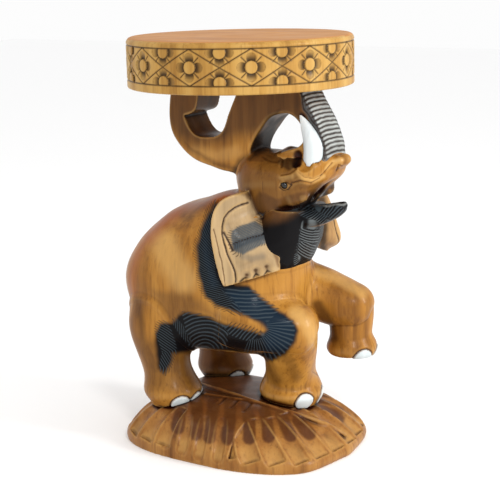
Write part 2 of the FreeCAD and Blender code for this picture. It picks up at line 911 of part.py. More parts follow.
leg_dowels, leg_holes = peg_set(
    "leg_dowels", "leg_dowel_radius", "leg_dowel_length",
    [
        (Vector(-hip_back, -size("hindfoot_right"), hip_level), upright),
        (Vector(-hip_back, size("hindfoot_left"), hip_level), upright),
        (foreleg_start, standing_arm[5] - foreleg_start),
        (raised_start, raised_arm[6] - raised_start),
    ],
)
foot_places = (
    (-size("hindfoot_back"), -size("hindfoot_right")),
    (-size("hindfoot_back"), size("hindfoot_left")),
    (size("forefoot_front"), size("forefoot_side")),
)
foot_share = 0.55
foot_start = leaf_level - size("foot_dowel_length") * foot_share
foot_dowels, foot_holes = peg_set(
    "foot_dowels", "foot_dowel_radius", "foot_dowel_length",
    [(Vector(x, y, foot_start), upright) for x, y in foot_places],
)


def ear_peg_place(side, row):
    root, free = ear_row(side, row)
    heading = (free - root).normalize()
    return root - heading * size("ear_peg_depth"), heading


ear_pegs, ear_holes = peg_set(
    "ear_pegs", "ear_peg_radius", "ear_peg_length",
    [
        ear_peg_place(-1, ear_right_shares[1]),
        ear_peg_place(-1, ear_right_shares[3]),
        ear_peg_place(1, ear_left_shares[1]),
        ear_peg_place(1, ear_left_shares[3]),
    ],
)

# seat: turned board with two turned lines round the rim
seat = doc.addObject("PartDesign::Body", "seat_board")
profile = seat.newObject("Sketcher::SketchObject", "seat_profile")
profile.AttachmentSupport = [(seat.Origin.OriginFeatures[4], "")]
profile.MapMode = "FlatFace"
radius = size("seat_diameter") / 2
top_level = seat_level + size("seat_thickness")
corners = [(0, seat_level), (radius, seat_level), (radius, top_level), (0, top_level)]
corners = [Vector(across, level, 0) for across, level in corners]
for step in range(4):
    profile.addGeometry(Part.LineSegment(corners[step], corners[(step + 1) % 4]))
for step in range(4):
    profile.addConstraint(Sketcher.Constraint("Coincident", step, 2, (step + 1) % 4, 1))
profile.addConstraint(Sketcher.Constraint("Horizontal", 0))
profile.addConstraint(Sketcher.Constraint("Vertical", 1))
profile.addConstraint(Sketcher.Constraint("Horizontal", 2))
profile.addConstraint(Sketcher.Constraint("PointOnObject", 0, 1, -2))
profile.addConstraint(Sketcher.Constraint("PointOnObject", 3, 1, -2))
across = profile.addConstraint(Sketcher.Constraint("DistanceX", 0, 1, 0, 2, radius))
profile.renameConstraint(across, "radius")
deep = profile.addConstraint(Sketcher.Constraint("DistanceY", 1, 1, 1, 2, size("seat_thickness")))
profile.renameConstraint(deep, "thickness")
lift = profile.addConstraint(Sketcher.Constraint("DistanceY", -1, 1, 0, 1, seat_level))
profile.renameConstraint(lift, "level")
bind(profile, "Constraints.radius", "Sizes.seat_diameter / 2")
bind(profile, "Constraints.thickness", "Sizes.seat_thickness")
seat_rises = "Sizes.leaf_rise + Sizes.leg_rise + Sizes.neck_rise + Sizes.crown_rise + Sizes.scroll_rise"
bind(profile, "Constraints.level", seat_rises)
turned = seat.newObject("PartDesign::Revolution", "seat_turned")
turned.Profile = profile
turned.ReferenceAxis = (profile, ["V_Axis"])
turned.Angle = 360
doc.recompute()
upper_edge = []
for number, edge in enumerate(turned.Shape.Edges, start=1):
    level = edge.BoundBox.ZMin
    if edge.BoundBox.ZLength < size("line_width") and level > top_level - size("seat_round"):
        upper_edge.append("Edge%d" % number)
rounded = seat.newObject("PartDesign::Fillet", "seat_rounding")
rounded.Base = (turned, upper_edge)
bind(rounded, "Radius", "Sizes.seat_round")
seat.Tip = rounded
doc.recompute()

# frieze: two lines, a lozenge net between them, flowers in the lozenges and half flowers at the crossings
rim = size("seat_diameter") / 2
rim_over_share = 1.02
rim_under_share = 0.9
half_flower_share = 0.8
frieze_turn = -51
margin = size("rim_margin")
low_line = seat_level + margin
high_line = top_level - margin


def band(depth, low, high):
    outer = Part.makeCylinder(rim + depth, high - low, Vector(0, 0, low))
    inner = Part.makeCylinder(rim - depth, high - low, Vector(0, 0, low))
    return outer.cut(inner)


lines = []
for level in (low_line, high_line - size("line_width")):
    lines.append(band(size("line_depth"), level, level + size("line_width")))
mid_level = (low_line + high_line) / 2
half_lozenge = rim * math.pi / size("lozenge_count")
half_band = (high_line - low_line) / 2 - size("line_width")
lozenge_band = band(size("lozenge_depth"), mid_level - half_band, mid_level + half_band)
flower_band = band(size("flower_depth"), low_line + size("line_width"), high_line - size("line_width"))


def frame_bar(side, high):
    # one side of a lozenge, cut straight in towards the axis
    turn = math.pi / size("lozenge_count")
    wide = size("lozenge_line") / 2
    outer = (rim + size("lozenge_depth")) * rim_over_share
    face = []
    for share in (0, 1):
        angle = side * turn * share
        level = mid_level + high * half_band * (1 - share)
        for lift in (-wide, wide):
            face.append(Vector(math.cos(angle) * outer, math.sin(angle) * outer, level + lift))
    inner = [Vector(point.x * rim_under_share, point.y * rim_under_share, point.z) for point in face]
    ends = []
    for ring_points in (face, inner):
        loop = [ring_points[0], ring_points[1], ring_points[3], ring_points[2], ring_points[0]]
        ends.append(Part.makePolygon(loop))
    return Part.makeLoft(ends, True, True)


def flower(radius, button, level):
    base = Vector(rim * rim_under_share, 0, level)
    long = rim * (rim_over_share - rim_under_share)
    middle = Part.makeCylinder(button, long, base, forward)
    return Part.makeCylinder(radius, long, base, forward).cut(middle)


bars = [frame_bar(side, high) for side in (-1, 1) for high in (-1, 1)]
unit = [bar.common(lozenge_band) for bar in bars]
unit.append(flower(size("flower_radius"), size("button_radius"), mid_level).common(flower_band))
half_step = 180 / size("lozenge_count")
for level in (low_line + size("line_width"), high_line - size("line_width")):
    petals = size("flower_radius") * half_flower_share
    button = size("button_radius") * half_flower_share
    bloom = flower(petals, button, level).common(flower_band)
    bloom.rotate(Vector(0, 0, 0), upright, half_step)
    unit.append(bloom)
carving = list(lines)
for step in range(int(size("lozenge_count"))):
    for piece in unit:
        copy = piece.copy()
        copy.rotate(Vector(0, 0, 0), upright, step * 2 * half_step + frieze_turn)
        carving.append(copy)
frieze = computed("frieze_cutters", Part.makeCompound(carving))

# pieces, each one cut to sit on its neighbours
head_block = carved("head_block", head_skull, bays)
lower_jaw = carved("lower_jaw", jaw_block, [torso_block, head_block] + jaw_holes + ear_holes[1::2])
head_holes = tenon_holes + eye_holes + trunk_holes + neck_holes + jaw_holes + ear_holes
head = carved("head", head_block, [torso_block] + head_holes)
trunk = carved("trunk", scroll_block, [head_block, rib_cutters] + tusk_grooves + seat_holes + trunk_holes)
torso = carved("torso", torso_block, neck_holes + leg_holes)
seat_top = carved("seat_top", seat, [frieze] + seat_holes)
tusks = {}
for name, block in tusk_blocks.items():
    tusk_seated = carved(name + "_seated", block, [head_block])
    tusks[name] = joined(name, [tusk_seated, tenons[name]])
ear_right = carved("ear_right", ear_blocks["ear_right"], [head_block, jaw_block] + ear_holes[:2])
ear_left = carved("ear_left", ear_blocks["ear_left"], [head_block, jaw_block] + ear_holes[2:])
leaf_block = joined("leaf_block", [leaf_dome, midrib])
leaf_carved = carved("leaf_carved", leaf_block, flute_cutters)
leaf_base = carved("leaf_base", leaf_carved, foot_holes)
standing_blocks = (
    ("hindleg_right", hind_blocks["hindleg_right"]),
    ("hindleg_left", hind_blocks["hindleg_left"]),
    ("foreleg_right", foreleg_right_block),
)
legs = {}
for turn, (name, block) in enumerate(standing_blocks):
    legs[name] = carved(name, block, [leaf_dome, foot_holes[turn], leg_holes[turn], torso_block])
legs["foreleg_left"] = carved("foreleg_left", foreleg_left_block, [leg_holes[3], torso_block])
doc.recompute()

nodes = {
    "seat_top": seat_top,
    "trunk": trunk,
    "head": head,
    "lower_jaw": lower_jaw,
    "tusk_right": tusks["tusk_right"],
    "tusk_left": tusks["tusk_left"],
    "eye_right": eyes["eye_right"],
    "eye_left": eyes["eye_left"],
    "ear_right": ear_right,
    "ear_left": ear_left,
    "torso": torso,
    "foreleg_right": legs["foreleg_right"],
    "foreleg_left": legs["foreleg_left"],
    "hindleg_right": legs["hindleg_right"],
    "hindleg_left": legs["hindleg_left"],
    "leaf_base": leaf_base,
    "seat_dowels": seat_dowels,
    "trunk_dowels": trunk_dowels,
    "neck_dowel": neck_dowel,
    "jaw_dowel": jaw_dowel,
    "leg_dowels": leg_dowels,
    "foot_dowels": foot_dowels,
    "ear_pegs": ear_pegs,
}
for thing in doc.Objects:
    if "Invalid" in thing.State or "Error" in thing.State:
        raise RuntimeError("%s did not build: %s" % (thing.Label, thing.State))
for label, thing in nodes.items():
    shape = thing.Shape
    if shape.isNull() or not shape.isValid():
        raise RuntimeError("%s has no valid shape" % label)
    print(label, "solids", len(shape.Solids), "volume", round(shape.Volume))
    thing.Label = label
    shape.exportStep("parts/%s.step" % label)
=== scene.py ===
import math

import bmesh
import bpy
import numpy as np
import openvdb
from mathutils import Matrix, Vector
from mathutils.bvhtree import BVHTree


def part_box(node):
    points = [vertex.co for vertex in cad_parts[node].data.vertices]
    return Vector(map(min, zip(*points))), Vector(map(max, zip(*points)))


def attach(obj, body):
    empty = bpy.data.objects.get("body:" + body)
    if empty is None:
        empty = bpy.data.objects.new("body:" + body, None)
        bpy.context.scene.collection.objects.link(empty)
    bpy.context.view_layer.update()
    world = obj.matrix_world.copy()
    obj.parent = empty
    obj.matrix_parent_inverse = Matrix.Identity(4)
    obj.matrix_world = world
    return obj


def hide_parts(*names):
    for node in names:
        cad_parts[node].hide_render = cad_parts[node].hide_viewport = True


# Carved elephant stool. Metres, Z up, the elephant looks towards +X.
# The animal's pieces are melted together as one carving and then parted again,
# so that every seam runs smooth. Carved and painted marks are drawn on the photo's frame.

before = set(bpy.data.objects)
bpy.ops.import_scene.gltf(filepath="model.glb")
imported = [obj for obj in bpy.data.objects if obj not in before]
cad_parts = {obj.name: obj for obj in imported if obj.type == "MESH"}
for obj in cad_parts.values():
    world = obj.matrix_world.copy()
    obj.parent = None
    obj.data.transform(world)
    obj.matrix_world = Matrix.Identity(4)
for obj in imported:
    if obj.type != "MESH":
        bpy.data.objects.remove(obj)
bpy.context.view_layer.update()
mm = 0.001
farSide = np.array([1, -1, 1])                # mirrors the near side
cell = 1.4 * mm     # size of the clay grid
bandCells = 8                                 # cells of clay on each side of a skin
print("frame loaded:", len(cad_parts), "nodes")


# the photo's camera, also used for drawing on the wood
photoView = {
    "heading": 34.0,
    "distance": 1.8,
    "height": 0.656,
    "pitch": 12.2,
    "roll": 1.3,
    "focal": 1358.0,          # pixels of a 500 pixel frame
    "middle": (244.6, 247.6),
    "frameSize": 500.0,
}


def viewAxes():
    turn = math.radians(photoView["heading"])
    tip = math.radians(photoView["pitch"])
    roll = math.radians(photoView["roll"])
    place = np.array([math.sin(turn), -math.cos(turn), 0]) * photoView["distance"]
    place[2] = photoView["height"]
    ahead = np.array([-math.sin(turn) * math.cos(tip), math.cos(turn) * math.cos(tip), -math.sin(tip)])
    level = np.array([math.cos(turn), math.sin(turn), 0])
    up = np.cross(level, ahead)
    right = level * math.cos(roll) - up * math.sin(roll)
    top = up * math.cos(roll) + level * math.sin(roll)
    return place, ahead, right, top


viewPlace, viewAhead, viewRight, viewTop = viewAxes()


def toPhoto(points):
    away = points - viewPlace
    depth = away @ viewAhead
    scale = photoView["focal"] / depth
    across = photoView["middle"][0] + scale * (away @ viewRight)
    down = photoView["middle"][1] - scale * (away @ viewTop)
    return np.stack([across, down], axis=1)


def photoRay(spot):
    across = (spot[0] - photoView["middle"][0]) / photoView["focal"]
    down = (spot[1] - photoView["middle"][1]) / photoView["focal"]
    ray = viewAhead + viewRight * across - viewTop * down
    return ray / np.linalg.norm(ray)


def smooth(value, low, high):
    share = np.clip((value - low) / (high - low), 0, 1)
    return share * share * (3 - 2 * share)


def boxCorners(part):
    # the eight grid corners round each place, with their weights
    for x in (0, 1):
        for y in (0, 1):
            for z in (0, 1):
                weight = np.abs(1 - x - part[:, 0]) * np.abs(1 - y - part[:, 1]) * np.abs(1 - z - part[:, 2])
                yield x, y, z, weight


# whole numbers that stir up the corners of the noise
stir = {
    "axes": (73856093, 19349663, 83492791),
    "times": (1103515245, 1597334677),
    "plus": 12345,
    "top": 0x7FFFFFFF,
}


def cloudNoise(points, size, seed=0):
    # soft lumps of one size, from -1 to 1
    spots = points / size + seed * 31.7
    base = np.floor(spots).astype(np.int64)
    part = spots - base
    part = part * part * (3 - 2 * part)
    total = np.zeros(len(points))
    for x, y, z, weight in boxCorners(part):
        a, b, c = (base[:, axis] + step for axis, step in enumerate((x, y, z)))
        key = a * stir["axes"][0] ^ b * stir["axes"][1] ^ c * stir["axes"][2]
        key = (key * stir["times"][0] + stir["plus"]) & stir["top"]
        key = (key ^ (key >> 11)) * stir["times"][1] & stir["top"]
        total += weight * key / stir["top"]
    return total * 2 - 1


def alongLine(spots, line):
    # distance to a line on the photo, length along it, and which side
    line = np.array(line, float)
    best = np.full(len(spots), 1e9)
    run = np.zeros(len(spots))
    side = np.zeros(len(spots))
    done = 0.0
    for start, end in zip(line[:-1], line[1:]):
        step = end - start
        length = np.hypot(*step)
        step = step / length
        away = spots - start
        share = np.clip(away @ step, 0, length)
        off = away - share[:, None] * step
        distance = np.hypot(off[:, 0], off[:, 1])
        nearer = distance < best
        best = np.where(nearer, distance, best)
        run = np.where(nearer, done + share, run)
        side = np.where(nearer, step[0] * away[:, 1] - step[1] * away[:, 0], side)
        done += length
    return best, run, side


def insideShape(spots, corners):
    # signed distance to a closed outline on the photo, negative inside
    corners = np.array(corners, float)
    closed = np.vstack([corners, corners[:1]])
    distance = alongLine(spots, closed)[0]
    inside = np.zeros(len(spots), bool)
    for start, end in zip(closed[:-1], closed[1:]):
        crosses = (start[1] > spots[:, 1]) != (end[1] > spots[:, 1])
        if abs(end[1] - start[1]) < 1e-9:
            continue
        where = start[0] + (spots[:, 1] - start[1]) * (end[0] - start[0]) / (end[1] - start[1])
        inside ^= crosses & (spots[:, 0] < where)
    return np.where(inside, -distance, distance)


def makeMesh(name, points, faces):
    mesh = bpy.data.meshes.new(name)
    points = np.ascontiguousarray(points, np.float32)
    faces = np.ascontiguousarray(faces, np.int32)
    sides = faces.shape[1]
    mesh.vertices.add(len(points))
    mesh.vertices.foreach_set("co", points.ravel())
    mesh.loops.add(faces.size)
    mesh.loops.foreach_set("vertex_index", faces.ravel())
    mesh.polygons.add(len(faces))
    mesh.polygons.foreach_set("loop_start", np.arange(0, faces.size, sides, dtype=np.int32))
    mesh.polygons.foreach_set("use_smooth", np.ones(len(faces), bool))
    mesh.update(calc_edges=True)
    thing = bpy.data.objects.new(name, mesh)
    bpy.context.scene.collection.objects.link(thing)
    return thing


def normalsOf(points, faces):
    first = points[faces[:, 2]] - points[faces[:, 0]]
    second = points[faces[:, -1]] - points[faces[:, 1]]
    face = np.cross(first, second)
    normals = np.zeros_like(points)
    for corner in range(faces.shape[1]):
        np.add.at(normals, faces[:, corner], face)
    return normals / np.maximum(np.linalg.norm(normals, axis=1), 1e-12)[:, None]


def neighbourMean(values, faces, links):
    total = np.zeros_like(values)
    sides = faces.shape[1]
    for corner in range(sides):
        np.add.at(total, faces[:, corner], values[faces[:, (corner + 1) % sides]])
        np.add.at(total, faces[:, corner], values[faces[:, corner - 1]])
    return total / (links[:, None] if values.ndim == 2 else links)


def linkCount(points, faces):
    return np.maximum(2.0 * np.bincount(faces.ravel(), minlength=len(points)), 1)


def raiseMark(marks, name, amount):
    marks[name] = np.maximum(marks[name], amount)


def settle(thing, marks, nodeName):
    # gives a finished piece its marks and its place in the frame
    for name, values in marks.items():
        layer = thing.data.attributes.new(name, "FLOAT", "POINT")
        layer.data.foreach_set("value", np.ascontiguousarray(values, np.float32))
    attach(thing, "root")
    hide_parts(nodeName)


# clay: level sets of the frame's nodes, joined softly
def meshArrays(thing):
    mesh = thing.data
    mesh.calc_loop_triangles()
    points = np.empty(len(mesh.vertices) * 3, np.float32)
    mesh.vertices.foreach_get("co", points)
    corners = np.empty(len(mesh.loop_triangles) * 3, np.int32)
    mesh.loop_triangles.foreach_get("vertices", corners)
    return points.reshape(-1, 3), corners.reshape(-1, 3).astype(np.uint32)


def clayGrid(points, faces):
    scale = openvdb.createLinearTransform(cell)
    return openvdb.FloatGrid.createLevelSetFromPolygons(
        points, triangles=faces, transform=scale, halfWidth=bandCells)


def gridBlock(grid, low, counts):
    block = np.empty(counts, np.float32)
    grid.copyToArray(block, ijk=tuple(int(x) for x in low))
    return block


def softUnion(first, second, soften):
    share = np.clip(0.5 + 0.5 * (second - first) / soften, 0, 1)
    return second + (first - second) * share - soften * share * (1 - share)


def softCut(first, second, soften):
    return -softUnion(-first, second, soften)


def shapeClay(block, low, strokes):
    # each stroke is (kind, soften, points with radius) in millimetres, laid on or cut away
    for kind, soften, path in strokes:
        path = np.array(path, float) * mm
        soften = soften * mm
        reach = path[:, 3].max() + 2 * soften + 2 * cell
        start = np.maximum(np.floor((path[:, :3].min(0) - reach) / cell).astype(int) - low, 0)
        stop = np.minimum(np.ceil((path[:, :3].max(0) + reach) / cell).astype(int) - low, block.shape)
        if (stop <= start).any():
            continue
        part = tuple(slice(a, b) for a, b in zip(start, stop))
        axes = [(np.arange(a, b) + o) * cell for a, b, o in zip(start, stop, low)]
        x, y, z = np.meshgrid(*axes, indexing="ij")
        best = np.full(x.shape, 1e3)
        ends = zip(path[:-1], path[1:]) if len(path) > 1 else [(path[0], path[0])]
        for head, tail in ends:
            step = tail[:3] - head[:3]
            length = max(step @ step, 1e-12)
            share = ((x - head[0]) * step[0] + (y - head[1]) * step[1] + (z - head[2]) * step[2]) / length
            share = np.clip(share, 0, 1)
            off = np.sqrt(
                (x - head[0] - share * step[0]) ** 2
                + (y - head[1] - share * step[1]) ** 2
                + (z - head[2] - share * step[2]) ** 2)
            best = np.minimum(best, off - head[3] - share * (tail[3] - head[3]))
        if kind == "add":
            block[part] = softUnion(block[part], best.astype(np.float32), soften)
        else:
            block[part] = softCut(block[part], best.astype(np.float32), soften)
    return block


def clayToMesh(block, low):
    # the block as a closed skin, with its faces looking outwards
    block = np.clip(block, -bandCells * cell, bandCells * cell).astype(np.float32)
    grid = openvdb.FloatGrid(float(bandCells * cell))
    grid.transform = openvdb.createLinearTransform(cell)
    grid.copyFromArray(block, ijk=tuple(int(x) for x in low))
    points, triangles, quads = grid.convertToPolygons(0.0, 0.0)
    faces = quads.astype(np.int64)
    corners = points[faces]
    volume = np.einsum("ij,ij->i", corners[:, 0], np.cross(corners[:, 1], corners[:, 2])).sum()
    if volume < 0:
        faces = faces[:, ::-1]
    return points.astype(float), faces


def biggestPart(points, faces):
    # drops the small closed bubbles left where a dowel's hole was
    label = np.arange(len(points))
    while True:
        lowest = label[faces].min(axis=1)
        fresh = label.copy()
        for corner in range(faces.shape[1]):
            np.minimum.at(fresh, faces[:, corner], lowest)
        fresh = fresh[fresh]
        if (fresh == label).all():
            break
        label = fresh
    names, counts = np.unique(label, return_counts=True)
    keep = label == names[counts.argmax()]
    index = np.cumsum(keep) - 1
    faces = faces[keep[faces[:, 0]]]
    return points[keep], index[faces]


# how softly each piece melts into the next, in millimetres
meltWidth = {
    "trunk": 7, "head": 12, "lower_jaw": 5, "ear_right": 4, "ear_left": 4, "torso": 14,
    "foreleg_right": 14, "foreleg_left": 12, "hindleg_right": 16, "hindleg_left": 16,
}
clayNodes = list(meltWidth)
plugNodes = [
    "seat_dowels", "trunk_dowels", "neck_dowel", "jaw_dowel", "leg_dowels", "foot_dowels", "ear_pegs",
]
aroundNodes = ["seat_top", "leaf_base", "tusk_right", "tusk_left"]
clay = {name: clayGrid(*meshArrays(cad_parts[name])) for name in clayNodes + plugNodes + aroundNodes}
print("clay laid on", len(clay), "nodes")


def bothSides(kind, soften, path):
    return [(kind, soften, path), (kind, soften, [(x, -y, z, radius) for x, y, z, radius in path])]


# work on the clay: x, y, z, radius in millimetres
clayWork = [
    ("cut", 3, [(112, 0, 345, 6), (122, 0, 349, 11), (138, 0, 357, 12), (152, 0, 366, 10)]),    # mouth
    *bothSides("cut", 2, [(116, -20, 343, 4), (126, -22, 348, 6), (140, -16, 355, 6)]),
    ("cut", 4, [(118, 0, 338, 5), (134, 0, 340, 7), (150, 0, 346, 7)]),
    ("add", 7, [(72, -14, 396, 9), (76, 0, 400, 10), (72, 14, 396, 9)]),                # forehead
    *bothSides("cut", 5, [(103, -30, 403, 7), (108, -38, 395, 6)]),                     # over the tusk's lip
    *bothSides("add", 4, [(84, -42, 376, 5), (94, -46, 376, 4.5), (106, -45, 379, 4)]),  # brow
    *bothSides("add", 8, [(100, -36, 350, 10), (112, -34, 352, 8)]),                    # cheek
    *bothSides("add", 4, [(140, -18, 392, 8), (152, -8, 396, 8), (158, 0, 398, 6)]),    # lip's tip
]
# where a piece ends under its neighbour: sizes in millimetres, the sinking of plugs in cells
pieceEnd = {"overlap": 5, "dive": 0.35, "plugSink": 0.8}


def blockRoom(name, margin=10):
    low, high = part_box(name)
    low = np.floor(np.array(low) / cell).astype(int) - margin
    counts = np.ceil(np.array(high) / cell).astype(int) + margin - low
    return low, counts


def clayPiece(name):
    low, counts = blockRoom(name)
    own = gridBlock(clay[name], low, counts)
    others = np.full(counts, bandCells * cell, np.float32)
    fused = own.copy()
    for other in clayNodes:
        if other == name:
            continue
        block = gridBlock(clay[other], low, counts)
        if block.min() >= bandCells * cell * 0.99:
            continue
        others = np.minimum(others, block)
        fused = softUnion(fused, block, min(meltWidth[name], meltWidth[other]) * mm)
    for other in plugNodes:
        fused = np.minimum(fused, gridBlock(clay[other], low, counts) - pieceEnd["plugSink"] * cell)
    fused = shapeClay(fused, low, clayWork)
    # past its own border the piece dives under its neighbour and is closed off inside
    beyond = own - others
    dived = fused + pieceEnd["dive"] * np.maximum(beyond, 0)
    points, faces = biggestPart(*clayToMesh(np.maximum(dived, beyond - pieceEnd["overlap"] * mm), low))
    around = np.minimum(own, others)
    for other in aroundNodes:
        around = np.minimum(around, gridBlock(clay[other], low, counts))
    return points, faces, shadeOf(points, normalsOf(points, faces), around, low)


def fieldAt(block, low, points):
    # value of the block between its grid points
    spots = points / cell - low
    spots = np.clip(spots, 0, np.array(block.shape) - 1.001)
    base = np.floor(spots).astype(int)
    part = spots - base
    total = np.zeros(len(points))
    for x, y, z, weight in boxCorners(part):
        total += weight * block[base[:, 0] + x, base[:, 1] + y, base[:, 2] + z]
    return total


shadeReach = (3 * mm, 6 * mm, 10 * mm)
shadeRange = (0.12, 0.75)


def shadeOf(points, normals, block, low):
    # how closed in a place is: painted shade gathers there
    shade = np.zeros(len(points))
    for reach in shadeReach:
        room = fieldAt(block, low, points + normals * reach)
        shade += np.clip(1 - room / reach, 0, 1) / len(shadeReach)
    return smooth(shade, *shadeRange)


# carved and painted marks in photo pixels; every body piece is painted with the same set
darkBand = [
    (216, 202), (208, 214), (201, 229), (197, 245), (197, 262), (200, 280), (206, 297), (215, 305),
    (227, 309), (243, 314.5), (257, 321), (266, 325), (268, 329), (262, 334), (247, 329.5), (224, 323.5),
    (212, 318), (198, 314), (184, 312), (178, 316), (172, 322), (160, 323), (155, 334), (156, 350),
    (158, 368), (164, 374), (170, 366), (173, 354), (192, 352), (224, 355), (252, 353), (272, 361),
    (286, 354), (295, 341), (298, 331), (292, 320), (280, 312), (267, 303), (257, 295), (250, 286),
    (236, 284), (224, 268), (218, 246), (216, 226), (220, 208),
]
bodyPaint = [
    ("red", "line", [(150, 236), (160, 220), (180, 206), (205, 198), (228, 192), (245, 188)], 9, 12, 1.0),
    ("red", "line", [(131, 290), (132, 268), (140, 246), (150, 234)], 5, 10, 0.7),
    ("brown", "line", [(186, 216), (196, 208), (206, 200)], 6, 10, 0.5),
    ("pale", "line", [(165, 245), (172, 262), (184, 280)], 13, 16, 0.8),
    ("brown", "shape", [(150, 290), (190, 294), (215, 312), (250, 326), (262, 333), (200, 313),
     (170, 322)], 0, 10, 0.45),
    ("brown", "shape", [(145, 350), (175, 350), (210, 353), (212, 380), (192, 392), (176, 376),
     (150, 376)], 0, 12, 0.65),
    ("brown", "line", [(137, 300), (142, 330), (146, 360)], 3, 7, 0.5),
    ("brown", "line", [(262, 352), (268, 366), (276, 380)], 5, 9, 0.5),
    ("black", "shape", darkBand, 0, 5.5, 1.0),
    ("blue", "shape", [(224, 290), (250, 288), (267, 304), (281, 313), (292, 321), (297, 331), (293, 342),
     (283, 352), (268, 350), (262, 338), (268, 330), (257, 321), (240, 313)], 0, 9, 0.95),
    ("blue", "line", [(209, 224), (206, 244), (208, 262), (214, 284)], 4, 8, 0.6),
]
bodyCarve = [
    # along: line on the photo, reach to its left and right, spacing, slant, bend, depth in millimetres
    ("along", [(214, 203), (206, 218), (199, 234), (196.5, 253), (199, 272), (204.5, 288), (211, 302),
     (226, 312)], 6, 16, 2.7, 0.85, 0.0, 0.8),
    # rings: middle, outline that holds them, spacing, squash
    ("rings", (205, 354), [(181, 311), (199, 312), (219, 320), (228, 330), (226, 348), (204, 348),
     (190, 346)], 3.7, 1.0),
    # fan: middle, inner and outer reach, first and last turn, step in degrees
    ("fan", (254.7, 325.7), 12, 40, -14, 112, 7.0),
    ("rings", (250, 170), [(222, 290), (252, 288), (262, 298), (280, 309), (268, 322),
     (245, 317)], 3.9, 0.9),
    ("along", [(226, 328), (240, 334), (256, 340), (262, 350)], 4, 14, 3.6, 0.4, 0.0, 0.8),
    ("along", [(158, 320), (163, 334), (168, 352), (166, 368)], 7, 9, 3.5, 1.2, 0.0, 0.6),
    ("along", [(176, 319), (183, 328), (191, 338)], 6, 1, 3.1, -1.2, 0.0, 0.9),
]

# lines that are both cut and painted dark
eyeLids = [
    [(279.5, 187.5), (282, 184), (286, 182.6), (291.5, 185)],
    [(279.5, 187.5), (283, 190), (288, 189.5), (291.5, 185)],
]
earRim = [
    (248.2, 202.7), (241.9, 204.8), (234.9, 208.3), (229.3, 212.5), (224.4, 218.9), (222.6, 226.6),
    (222.6, 234.3), (224.4, 244.1), (227.9, 255.4), (231.4, 263), (234.9, 271.5), (236, 279.2),
     (235.6, 289),
]
earRoot = [(224.4, 232.9), (227.9, 239.9), (232.8, 250.4)]
earBack = [(213.9, 228.7), (216.3, 240.6), (218.8, 251.1), (221.6, 261.7), (223.7, 275.7), (225, 287)]
earFold = [(233.5, 244.1), (240.5, 240.6), (249.6, 237.8), (256, 236.4), (265, 233)]
farEarRim = [(327, 190), (331, 200), (336, 227), (339, 241), (337, 252)]

